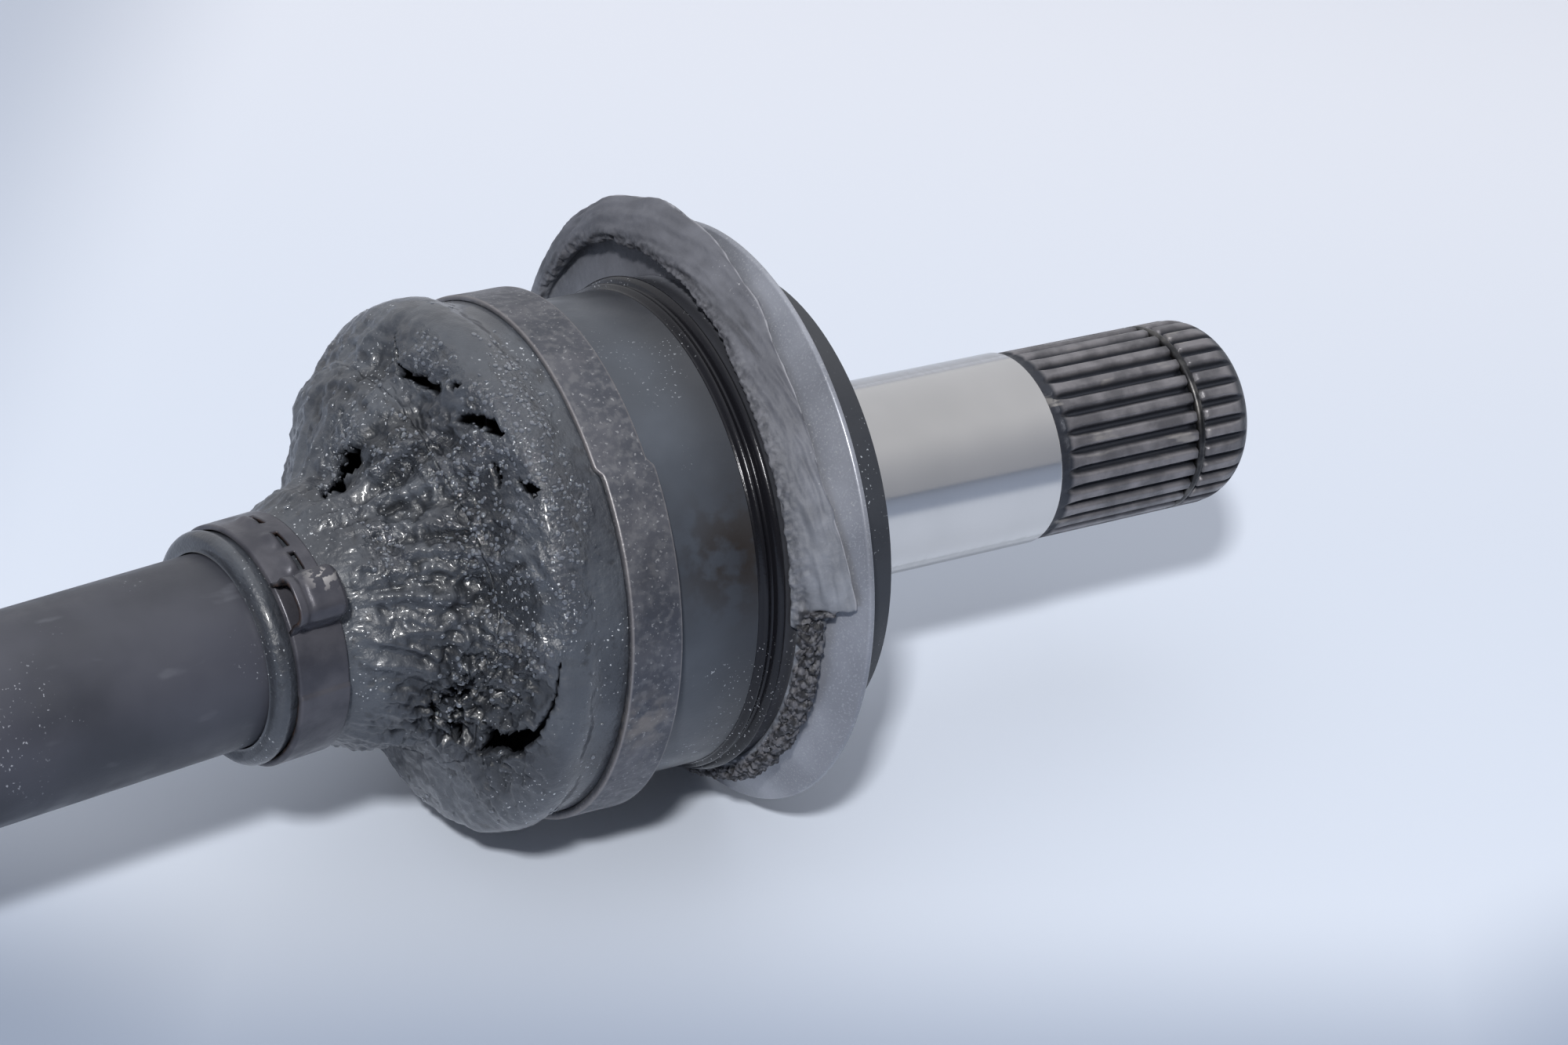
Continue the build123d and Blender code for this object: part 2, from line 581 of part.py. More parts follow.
def ear_clamp():
    """A small boot clamp: a band closed by a pinched ear."""
    inside = SMALL_WRAP_R + RUNNING
    crown = inside + BAND_SHEET
    half = EAR_LENGTH / 2
    waist = half - EAR_PINCH
    outside = [
        (half, crown - BAND_SHEET / 2), (waist, crown + EAR_HEIGHT / 2), (half, crown + EAR_HEIGHT * 0.75),
        (half - EAR_PINCH, crown + EAR_HEIGHT),
    ]
    hollow = [(y - BAND_SHEET, z) for y, z in outside[:-1]]
    hollow.append((half - EAR_PINCH - BAND_SHEET / 2, crown + EAR_HEIGHT - BAND_SHEET))
    mirrored = [(-y, z) for y, z in reversed(outside)]
    mirrored_hollow = [(-y, z) for y, z in reversed(hollow)]
    ear = make_face(Polyline(*outside, *mirrored, close=True))
    ear -= make_face(Polyline(*hollow, *mirrored_hollow, close=True))
    block = extrude(Plane.YZ * ear, SMALL_BAND_WIDTH, dir=(1, 0, 0))
    edge_x = -SMALL_BAND_S - SMALL_BAND_WIDTH
    ear_place = Rot(90.0 - EAR_ANGLE, 0, 0) * Pos(edge_x, 0, 0)
    return ear_place * block + band(edge_x, SMALL_BAND_WIDTH, inside)


# Files: one STEP file for each sub-part, named after its node

def rollers():
    """The four pieces of each of the three roller units."""
    pieces = {}
    for way, name in enumerate(ARM_NAMES):
        pieces[f"roller_outer_ring_{name}"] = in_track(way, roller_outer_ring())
        pieces[f"roller_inner_ring_{name}"] = in_track(way, roller_inner_ring())
        pieces[f"roller_needles_{name}"] = in_track(way, roller_needles())
        pieces[f"roller_washers_{name}"] = in_track(way, roller_washers())
    return pieces


def half_shaft():
    """Every node of the half shaft, by name."""
    outer_band_x = -OUTER_BAND_X - BIG_BAND_WIDTH
    pieces = {
        "inner_joint_housing": inner_joint_housing(),
        "inner_stub_shaft": inner_stub_shaft(),
        "stub_snap_ring": stub_snap_ring(),
        "dust_shield": dust_shield(),
        "dust_seal": dust_seal(),
        "inner_boot": inner_boot(),
        "inner_boot_large_clamp": HOUSING * overlapped_band(BIG_BAND_X, WRAP_R),
        "inner_boot_small_clamp": SHAFT * ear_clamp(),
        "tripod_spider": tripod_spider(),
        "spider_snap_ring": spider_snap_ring(),
        "axle_shaft": axle_shaft(),
        "inner_race": inner_race(),
        "race_snap_ring": race_snap_ring(),
        "ball_cage": ball_cage(),
        "outer_joint_bell": outer_joint_bell(),
        "outer_boot": outer_boot(),
        "outer_boot_large_clamp": OUTER * Rot(0, 0, 180) * overlapped_band(outer_band_x, BELL_WRAP_R),
        "outer_boot_small_clamp": OUTER * Rot(0, 0, 180) * ear_clamp(),
    }
    pieces.update(rollers())
    for ball in range(BALLS):
        pieces[f"bearing_ball_{ball + 1}"] = bearing_ball(ball)
    return pieces


os.makedirs("parts", exist_ok=True)
for node, piece in half_shaft().items():
    export_step(piece, f"parts/{node}.step")
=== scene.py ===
import math

import bpy
import numpy as np
from mathutils import Matrix, Vector, noise


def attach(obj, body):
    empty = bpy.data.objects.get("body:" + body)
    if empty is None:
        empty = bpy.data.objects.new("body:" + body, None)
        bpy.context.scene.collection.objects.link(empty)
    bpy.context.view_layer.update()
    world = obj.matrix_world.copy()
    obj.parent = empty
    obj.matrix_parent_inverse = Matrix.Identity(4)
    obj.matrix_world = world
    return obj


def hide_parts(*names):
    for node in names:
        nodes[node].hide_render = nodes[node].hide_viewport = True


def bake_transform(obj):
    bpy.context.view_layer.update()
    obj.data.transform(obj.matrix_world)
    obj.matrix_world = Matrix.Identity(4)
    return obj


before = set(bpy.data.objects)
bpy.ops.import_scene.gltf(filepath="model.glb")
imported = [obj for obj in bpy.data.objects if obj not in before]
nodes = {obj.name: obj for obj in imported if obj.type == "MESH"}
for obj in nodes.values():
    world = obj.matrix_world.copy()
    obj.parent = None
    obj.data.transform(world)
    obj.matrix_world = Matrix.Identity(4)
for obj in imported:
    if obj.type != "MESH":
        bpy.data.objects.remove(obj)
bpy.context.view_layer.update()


def placed(name, data):
    """A new object that shows this data, in the scene."""
    shown = bpy.data.objects.new(name, data)
    bpy.context.scene.collection.objects.link(shown)
    return shown


# Camera: the photograph looks down on the inner joint from the bar's side. The lens and the place were fitted
# to the journal, the can and the bar.
VIEW_RIGHT = (0.85424, -0.50937, 0.10402)
VIEW_UP = (0.18704, 0.48780, 0.85268)
VIEW_BACK = (-0.48508, -0.70894, 0.51197)
camera = placed("camera", bpy.data.cameras.new("camera"))
camera.data.lens = 84.6
camera.data.sensor_width = 36.0
camera.data.clip_end = 20.0
turn = Matrix((VIEW_RIGHT, VIEW_UP, VIEW_BACK)).transposed().to_4x4()
camera.matrix_world = Matrix.Translation((-0.36677, -0.49660, 0.35257)) @ turn
bpy.context.scene.camera = camera
bpy.context.scene.view_settings.view_transform = "Standard"

# Table and light: a pale blue-white table under one small lamp that stands behind and above the camera. The room
# is bright overhead and dark behind the camera, and the ground journal mirrors both.
TABLE_TOP = -0.0553
TABLE_TILT = 0.0143
TABLE_COLOUR = (0.67, 0.725, 0.82)
# the far tint is painted light and the edge tint is painted shade on the table
TABLE_FAR_PAINTED_LIGHT = (0.85, 0.875, 0.94)
TABLE_EDGE_PAINTED_SHADE = (0.32, 0.375, 0.48)
ROOM_BRIGHT = (0.33, 0.35, 0.40)
ROOM_FAR = (0.72, 0.73, 0.76)
ROOM_DARK = (0.03, 0.032, 0.04)
TO_CAMERA = (-0.56, -0.83)


def area_light(name, place, target, size, power, colour):
    """A rectangular lamp that faces its target."""
    lamp = bpy.data.lights.new(name, "AREA")
    lamp.shape = "RECTANGLE"
    lamp.size, lamp.size_y = size
    lamp.energy = power
    lamp.color = colour
    holder = placed(name, lamp)
    holder.location = place
    holder.rotation_euler = (Vector(target) - Vector(place)).to_track_quat("-Z", "Y").to_euler()


area_light("lamp", (-0.95, -1.10, 1.35), (-0.08, 0, 0), (0.14, 0.14), 33.0, (1.0, 0.995, 0.99))
area_light("ceiling", (-0.05, 0.15, 1.45), (-0.08, 0, 0), (2.0, 1.2), 3.0, (0.95, 0.97, 1.0))


def new_finish(name, colour, roughness, metallic=0.0, **values):
    """A material, its node tree and its shader, with the plain values set."""
    material = bpy.data.materials.new(name)
    material.use_nodes = True
    tree = material.node_tree
    shader = tree.nodes["Principled BSDF"]
    shader.inputs["Base Color"].default_value = (*colour, 1)
    shader.inputs["Roughness"].default_value = roughness
    shader.inputs["Metallic"].default_value = metallic
    for socket, value in values.items():
        shader.inputs[socket.replace("_", " ")].default_value = value
    return material, tree, shader


def wired(tree, kind, inputs):
    """A new node whose inputs are linked to sockets or set to values."""
    node = tree.nodes.new(kind)
    for name, value in inputs.items():
        if isinstance(value, bpy.types.NodeSocket):
            tree.links.new(value, node.inputs[name])
        else:
            node.inputs[name].default_value = value
    return node


def along(tree, axis, output="Object"):
    """The Object coordinate along X, Y or Z, or that of another output."""
    place = tree.nodes.new("ShaderNodeTexCoord").outputs[output]
    return wired(tree, "ShaderNodeSeparateXYZ", {"Vector": place}).outputs[axis]


def between(tree, value, low, high, at_low=0.0, at_high=1.0):
    """Value's way from low to high, smoothed, as a number from at_low to at_high."""
    ramp = wired(tree, "ShaderNodeMapRange",
                 {"Value": value, "From Min": low, "From Max": high, "To Min": at_low, "To Max": at_high})
    ramp.interpolation_type = "SMOOTHSTEP"
    return ramp.outputs["Result"]


def combine(tree, first, second, operation="MULTIPLY"):
    """Two numbers multiplied, or put together by another operation."""
    node = wired(tree, "ShaderNodeMath", {0: first, 1: second})
    node.operation = operation
    return node.outputs["Value"]


def tint(tree, share, first, second):
    """A colour between two: first where share is 0, second where it is 1. Either may be a socket."""
    mix = tree.nodes.new("ShaderNodeMix")
    mix.data_type = "RGBA"
    tree.links.new(share, mix.inputs[0])
    for place, colour in ((6, first), (7, second)):
        if isinstance(colour, tuple):
            mix.inputs[place].default_value = (*colour, 1)
        else:
            tree.links.new(colour, mix.inputs[place])
    return mix.outputs[2]


def painted(tree, shader, colour):
    """The shader takes its colour from a socket."""
    tree.links.new(colour, shader.inputs["Base Color"])


def level(tree, x_share, y_share, output="Object"):
    """How far a point lies in a level direction."""
    return combine(tree, combine(tree, along(tree, "X", output), x_share),
                   combine(tree, along(tree, "Y", output), y_share), "ADD")


world = bpy.data.worlds.new("room")
bpy.context.scene.world = world
world.use_nodes = True
tree = world.node_tree
near_camera = level(tree, *TO_CAMERA, "Generated")
low = between(tree, along(tree, "Z", "Generated"), 0.42, 0.54, 1.0, 0.0)
shade = combine(tree, between(tree, near_camera, 0.05, 0.40), low)
far = tint(tree, between(tree, near_camera, -0.45, 0.10, 1.0, 0.0), ROOM_BRIGHT, ROOM_FAR)
tree.links.new(tint(tree, shade, far, ROOM_DARK), tree.nodes["Background"].inputs["Color"])

table_finish, tree, shader = new_finish("table_finish", TABLE_COLOUR, 0.55)
# Painted light and shade: the table's colour turns lighter away from the camera, and darker towards its near edge
# and left side.
towards = level(tree, *TO_CAMERA)
aside = level(tree, 0.83, -0.56)
outside = combine(tree, combine(tree, combine(tree, aside, 0.0, "ABSOLUTE"), 0.11, "SUBTRACT"), 0.0, "MAXIMUM")
edge = combine(tree, combine(tree, towards, combine(tree, aside, 0.187), "ADD"), combine(tree, outside, 0.6), "ADD")
corner = combine(tree, between(tree, aside, -0.25, -0.17, 0.6, 0.0), between(tree, edge, 0.06, 0.13), "MAXIMUM")
colour = tint(tree, between(tree, towards, -0.42, -0.02), TABLE_FAR_PAINTED_LIGHT, TABLE_COLOUR)
painted(tree, shader, tint(tree, corner, colour, TABLE_EDGE_PAINTED_SHADE))
corners = [(x, y, TABLE_TOP - TABLE_TILT * (x + 0.0435)) for x, y in ((-4, -4), (4, -4), (4, 4), (-4, 4))]
table_mesh = bpy.data.meshes.new("table")
table_mesh.from_pydata(corners, [], [(0, 1, 2, 3)])
table_mesh.materials.append(table_finish)
table = placed("table", table_mesh)

# Inner joint can: a forged steel pot, machined round and sprayed satin blue-black. It is the housing that the
# three rollers run in. Grease has stained it brown beside the shield.
MM = 0.001


def mottle(tree, scale, detail=3.0, stretch=(1, 1, 1)):
    """Noise on the piece's own Object coordinates, scale in features per metre."""
    place = tree.nodes.new("ShaderNodeTexCoord").outputs["Object"]
    mapped = wired(tree, "ShaderNodeMapping", {"Vector": place, "Scale": stretch}).outputs["Vector"]
    return wired(tree, "ShaderNodeTexNoise", {"Vector": mapped, "Scale": scale, "Detail": detail}).outputs["Fac"]


def clouds(tree, scale, detail, low, high, at_low=0.0, at_high=1.0):
    """Noise spread between low and high, as a number from at_low to at_high."""
    return between(tree, mottle(tree, scale, detail), low, high, at_low, at_high)


def marked(tree, name):
    """The number that the piece's mesh carries on its points under this name."""
    mark = tree.nodes.new("ShaderNodeAttribute")
    mark.attribute_name = name
    return mark.outputs["Fac"]


def uneven_gloss(tree, shader, scale, low, high):
    """Roughness that wanders from low to high over the piece."""
    tree.links.new(clouds(tree, scale, 4, 0.3, 0.7, low, high), shader.inputs["Roughness"])


def near(tree, place, reach):
    """1 at a place in metres, fading to 0 at the given reach."""
    here = tree.nodes.new("ShaderNodeTexCoord").outputs["Object"]
    distance = wired(tree, "ShaderNodeVectorMath", {0: here, 1: place})
    distance.operation = "DISTANCE"
    return between(tree, distance.outputs["Value"], 0.0, reach, 1.0, 0.0)


def specks(tree, scale, amount):
    """Sparse fine dust, 1 on a speck; amount is the share of clusters that carry it."""
    fine = clouds(tree, scale, 1, 0.69, 0.73)
    return combine(tree, fine, clouds(tree, 45, 3, 0.62 - amount, 0.70 - amount))


def relief(tree, shader, *layers):
    """Bump from (height, depth in metres) layers, one over the other."""
    normal = None
    for height, depth in layers:
        under = {"Normal": normal} if normal else {}
        normal = wired(tree, "ShaderNodeBump", {"Distance": depth, "Height": height, **under}).outputs["Normal"]
    tree.links.new(normal, shader.inputs["Normal"])


def give(material, *names):
    """These CAD nodes get this material alone."""
    for name in names:
        nodes[name].data.materials.clear()
        nodes[name].data.materials.append(material)
        for face in nodes[name].data.polygons:
            face.material_index = 0


can_finish, tree, shader = new_finish("can_paint", (0.05, 0.055, 0.065), 0.38, 0.0, Specular_IOR_Level=0.5)
dust = clouds(tree, 35, 4, 0.35, 0.75)
blotch = clouds(tree, 240, 4, 0.38, 0.62)
colour = tint(tree, dust, (0.048, 0.055, 0.068), (0.082, 0.094, 0.115))
beside = between(tree, along(tree, "X"), -0.0725, -0.0605)
colour = tint(tree, combine(tree, beside, 0.75), colour, (0.022, 0.023, 0.027))
stain = combine(tree, near(tree, (-0.064, -0.0405, 0.0185), 0.017), blotch)
colour = tint(tree, stain, colour, (0.020, 0.016, 0.014))
colour = tint(tree, specks(tree, 1900, 0.10), colour, (0.34, 0.36, 0.39))
painted(tree, shader, colour)
uneven_gloss(tree, shader, 120, 0.30, 0.46)
relief(tree, shader, (mottle(tree, 1400, 3), 0.00003))
give(can_finish, "inner_joint_housing")

# Stub: a steel shaft friction-welded to the can. Its seal journal is ground bright, the rest is left dark from
# hardening: 30 rolled teeth that run out behind the journal, a ring groove, and a rounded nose to enter the gear.
# One tooth's sector is a mesh, and Geometry Nodes turn it thirty times and weld the copies.
CENTRE_X = -75.0
WELD_X = 51.0
WELD_R = 20.5
JOURNAL_FROM = 52.0
JOURNAL_TO = 98.4
JOURNAL_R = 19.0
RELIEF_R = 18.3
RELIEF_TO = 100.2
FULL_TEETH = 104.4
TEETH = 30
TIP_R = 18.6
ROOT_R = 16.95
NOSE_X = 147.5
NOSE_ROUND = 8.5
GROOVE_X = 132.4
GROOVE_HALF = 1.15
GROOVE_R = 16.8


def on_can(x, radius, degrees):
    """Points round the can's axis: x from the joint's centre, degrees from the camera side, -Y, over the top."""
    turned = np.radians(degrees)
    x, radius, turned = np.broadcast_arrays(x, radius, turned)
    return np.stack([x + CENTRE_X, -radius * np.cos(turned), radius * np.sin(turned)], -1) * MM


def new_piece(name, points, faces, material, marks=None):
    """A smooth mesh object at the origin, in the scene, with any marks as numbers on its points."""
    mesh = bpy.data.meshes.new(name)
    mesh.from_pydata([tuple(p) for p in points], [], faces)
    mesh.materials.append(material)
    mesh.polygons.foreach_set("use_smooth", [True] * len(mesh.polygons))
    for mark, values in (marks or {}).items():
        mesh.attributes.new(mark, "FLOAT", "POINT").data.foreach_set("value", np.ravel(values).astype(np.float32))
    piece = placed(name, mesh)
    return piece


def grown(piece, name, build, inputs, material):
    """The plain mesh that a Geometry Nodes tree grows from a piece. inputs: (name, socket type, value)."""
    tree = bpy.data.node_groups.new(name, "GeometryNodeTree")
    for way in ("INPUT", "OUTPUT"):
        tree.interface.new_socket("Geometry", in_out=way, socket_type="NodeSocketGeometry")
    keys = {label: tree.interface.new_socket(label, in_out="INPUT", socket_type=kind).identifier
            for label, kind, value in inputs}
    given = tree.nodes.new("NodeGroupInput")
    result = wired(tree, "GeometryNodeSetMaterial", {"Geometry": build(tree, given.outputs), "Material": material})
    wired(tree, "NodeGroupOutput", {"Geometry": result.outputs["Geometry"]})
    modifier = piece.modifiers.new(name, "NODES")
    modifier.node_group = tree
    for label, kind, value in inputs:
        modifier[keys[label]] = value
    bpy.context.view_layer.update()
    mesh = bpy.data.meshes.new_from_object(piece.evaluated_get(bpy.context.evaluated_depsgraph_get()))
    piece.modifiers.remove(modifier)
    grown_piece = placed(name, mesh)
    return grown_piece


def turned_copies(tree, given):
    """The given sector, copied round the X axis and welded to its neighbours."""
    points = wired(tree, "GeometryNodePoints", {"Count": given["Copies"]}).outputs[0]
    index = tree.nodes.new("GeometryNodeInputIndex").outputs["Index"]
    turn = wired(tree, "ShaderNodeCombineXYZ", {"X": combine(tree, index, given["Turn"])}).outputs["Vector"]
    copies = wired(tree, "GeometryNodeInstanceOnPoints",
                   {"Points": points, "Instance": given["Geometry"], "Rotation": turn}).outputs["Instances"]
    real = wired(tree, "GeometryNodeRealizeInstances", {"Geometry": copies}).outputs["Geometry"]
    weld = wired(tree, "GeometryNodeMergeByDistance", {"Geometry": real, "Distance": given["Weld"]})
    return weld.outputs["Geometry"]


def from_axis(tree):
    """How far a point lies from the can's axis, in metres."""
    squares = [combine(tree, along(tree, axis), 2.0, "POWER") for axis in "YZ"]
    return combine(tree, combine(tree, *squares, "ADD"), 0.5, "POWER")


sector = np.linspace(-0.5, 0.5, 19)
sector_degrees = (sector + 0.5) * 360.0 / TEETH


def toothed_row(x, tip, root):
    """A row across one tooth; the tooth is wider where it runs out."""
    run_out = min(max((x - RELIEF_TO) / (FULL_TEETH - RELIEF_TO), 0), 1)
    deep = RELIEF_R + (root - RELIEF_R) * min(run_out * 1.6, 1)
    half = 0.41 + 0.07 * (1 - run_out)
    crown = np.sin(np.clip((half - np.abs(sector)) / 0.25, 0, 1) * math.pi / 2)
    nose = max(x - (NOSE_X - NOSE_ROUND), 0)
    limit = TIP_R - NOSE_ROUND + math.sqrt(max(NOSE_ROUND ** 2 - nose ** 2, 0))
    return on_can(x, np.minimum(deep + (tip - deep) * crown, limit), sector_degrees)


rows = [on_can(x, radius, sector_degrees) for x, radius in (
    (WELD_X - 0.8, 0.01), (WELD_X - 0.8, WELD_R - 1.0), (WELD_X, WELD_R), (WELD_X + 0.5, WELD_R - 0.3),
    (JOURNAL_FROM, JOURNAL_R + 0.12), (JOURNAL_FROM + 0.2, JOURNAL_R), (JOURNAL_TO - 0.35, JOURNAL_R),
    (JOURNAL_TO - 0.1, JOURNAL_R - 0.12), (JOURNAL_TO, JOURNAL_R - 0.35), (JOURNAL_TO + 0.15, RELIEF_R + 0.08),
    (JOURNAL_TO + 0.35, RELIEF_R), (RELIEF_TO, RELIEF_R))]
groove_from, groove_to = GROOVE_X - GROOVE_HALF, GROOVE_X + GROOVE_HALF
run_out_x, full_x = np.linspace(RELIEF_TO + 0.3, FULL_TEETH, 16), np.linspace(FULL_TEETH + 1.0, groove_from, 16)
rows += [toothed_row(x, TIP_R, ROOT_R) for x in np.concatenate([run_out_x, full_x])]
rows += [on_can(groove_from + 0.05, GROOVE_R, sector_degrees), on_can(groove_to - 0.05, GROOVE_R, sector_degrees)]
nose_x = NOSE_X - NOSE_ROUND + NOSE_ROUND * np.sin(np.linspace(0.05, 1.56, 30))
after_groove = np.concatenate([np.linspace(groove_to, NOSE_X - NOSE_ROUND, 6), nose_x])
rows += [toothed_row(x, TIP_R, ROOT_R) for x in after_groove]
rows.append(on_can(NOSE_X, 0.01, sector_degrees))
points = np.array(rows)
height, width = points.shape[:2]
faces = [(i * width + j, (i + 1) * width + j, (i + 1) * width + j + 1, i * width + j + 1)
         for i in range(height - 1) for j in range(width - 1)]

stub_finish, tree, shader = new_finish("stub_steel", (0.5, 0.5, 0.5), 0.3, 1.0)
x = along(tree, "X")
ground = combine(tree, between(tree, x, 0.0232, 0.0235, 1.0, 0.0), between(tree, x, -0.0232, -0.0228, 0.0, 1.0))
unground = combine(tree, 1.0, ground, "SUBTRACT")
lathe_marks = mottle(tree, 260, 2, (9, 0.1, 0.1))
bright = tint(tree, clouds(tree, 30, 3, 0.3, 0.7), (0.56, 0.555, 0.55), (0.63, 0.62, 0.615))
worn = between(tree, from_axis(tree), 0.0174, 0.0184)
cloud = mottle(tree, 180, 4)
tips = tint(tree, between(tree, cloud, 0.35, 0.65), (0.120, 0.116, 0.124), (0.230, 0.220, 0.230))
crust = tint(tree, combine(tree, worn, between(tree, x, 0.0256, 0.0268)), (0.034, 0.037, 0.047), tips)
rubbed = combine(tree, between(tree, mottle(tree, 260, 3, (0.35, 1, 1)), 0.62, 0.70), worn)
crust = tint(tree, combine(tree, rubbed, 0.6), crust, (0.36, 0.34, 0.32))
painted(tree, shader, tint(tree, ground, crust, bright))
tree.links.new(combine(tree, ground, 0.45, "MAXIMUM"), shader.inputs["Metallic"])
dull = clouds(tree, 260, 4, 0.3, 0.7, 0.38, 0.55)
polish = between(tree, lathe_marks, 0.3, 0.7, 0.11, 0.15)
both = combine(tree, combine(tree, dull, unground), combine(tree, polish, ground), "ADD")
tree.links.new(both, shader.inputs["Roughness"])
rough = combine(tree, mottle(tree, 1300, 3), unground)
relief(tree, shader, (combine(tree, lathe_marks, ground), 0.0000012), (rough, 0.0001))
one_tooth = new_piece("one_tooth", points.reshape(-1, 3), faces, stub_finish)
stub = grown(one_tooth, "stub", turned_copies,
             [("Copies", "NodeSocketInt", TEETH), ("Turn", "NodeSocketFloat", math.radians(360.0 / TEETH)),
              ("Weld", "NodeSocketFloat", 0.000015)], stub_finish)
bpy.data.objects.remove(one_tooth)
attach(stub, "inner_housing")
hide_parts("inner_stub_shaft")

# Snap rings: round spring wire in the stub's groove, which holds the stub in its gear, and two flat rings of
# the same steel that keep the tripod and the ball race on the bar.
spring_finish, tree, shader = new_finish("spring_steel", (0.08, 0.08, 0.08), 0.38, 0.9)
aged = clouds(tree, 300, 3, 0.4, 0.7)
painted(tree, shader, tint(tree, aged, (0.040, 0.040, 0.042), (0.13, 0.125, 0.12)))
relief(tree, shader, (mottle(tree, 1800, 2), 0.00002))
give(spring_finish, "stub_snap_ring", "spider_snap_ring", "race_snap_ring")

# Dust shield: a sleeve and plate pressed from 1.3 mm steel, sprayed satin black and pushed on to the can. Two
# rolled beads stiffen its lip, and the dished plate keeps splash off the seal.
SLEEVE_R = 45.52
SLEEVE_IN_R = 44.02
SHIELD_SECTION = [
    (15.0, SLEEVE_IN_R), (15.0, 44.6), (15.35, 44.7), (15.9, 45.35), (16.3, 45.6), (16.75, 45.35), (17.15, 44.85),
    (17.75, 44.85), (18.2, 46.0), (19.0, 46.6), (19.5, 46.1), (19.8, SLEEVE_R), (25.3, SLEEVE_R), (26.9, 47.2),
    (31.1, 54.3), (31.5, 55.1), (32.6, 55.1), (28.3, 47.4), (26.8, 45.2), (26.8, SLEEVE_IN_R),
]


def softened(points, radius, steps=5):
    """A closed outline of (x, radius) points with each corner rounded."""
    points = [np.array(p, float) for p in points]
    result = []
    for i, corner in enumerate(points):
        before, after = points[i - 1] - corner, points[(i + 1) % len(points)] - corner
        long_before, long_after = np.linalg.norm(before), np.linalg.norm(after)
        reach = min(radius, long_before * 0.45, long_after * 0.45)
        start, end = corner + before / long_before * reach, corner + after / long_after * reach
        for share in np.linspace(0, 1, steps):
            result.append(tuple((1 - share) ** 2 * start + 2 * share * (1 - share) * corner + share ** 2 * end))
    return result


def ring_faces(count, around):
    """The faces of a closed section carried all the way round, its rows in order outside first."""
    faces = []
    for i in range(count):
        n = (i + 1) % count
        for j in range(around):
            k = (j + 1) % around
            faces.append((i * around + j, n * around + j, n * around + k, i * around + k))
    return faces


shield_finish, tree, shader = new_finish("shield_steel", (0.09, 0.094, 0.105), 0.36, 0.35)
dust = clouds(tree, 50, 4, 0.35, 0.7)
# Painted sheen: the plate is coloured far lighter than the satin black sleeve, and dust clouds it.
colour = tint(tree, dust, (0.23, 0.24, 0.272), (0.34, 0.352, 0.395))
plate_with_painted_sheen = between(tree, along(tree, "X"), -0.0535, -0.0500)
sleeve = between(tree, along(tree, "X"), -0.0556, -0.0548)
# the plate takes the lighter colour of the painted sheen; the sleeve under the seal stays satin black
colour = tint(tree, plate_with_painted_sheen, (0.055, 0.057, 0.066), colour)
colour = tint(tree, sleeve, (0.011, 0.011, 0.014), colour)
grit = clouds(tree, 2400, 1, 0.58, 0.66)
colour = tint(tree, combine(tree, combine(tree, grit, plate_with_painted_sheen), 0.30), colour, (0.46, 0.48, 0.52))
colour = tint(tree, specks(tree, 1900, 0.14), colour, (0.45, 0.46, 0.48))
painted(tree, shader, colour)
satin = clouds(tree, 90, 4, 0.3, 0.7, 0.30, 0.40)
tree.links.new(combine(tree, satin, between(tree, sleeve, 0, 1, 0.62, 1.0)), shader.inputs["Roughness"])
relief(tree, shader, (mottle(tree, 2200, 2), 0.00002))
degrees = np.arange(480) * 0.75
rows = np.array([on_can(x, radius, degrees) for x, radius in softened(SHIELD_SECTION, 0.5)])
shield = new_piece("shield", rows.reshape(-1, 3), ring_faces(len(rows), 480), shield_finish)
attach(shield, "inner_housing")
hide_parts("dust_shield")

# Dust seal: a moulded rubber ring stretched on to the shield's sleeve. Its lip has dried and torn off over the
# lower side. Over the top it has peeled off the sleeve and curled into an arch, with its own web behind it.
SEAL_TEAR = 10.0
SEAL_END = 206.0
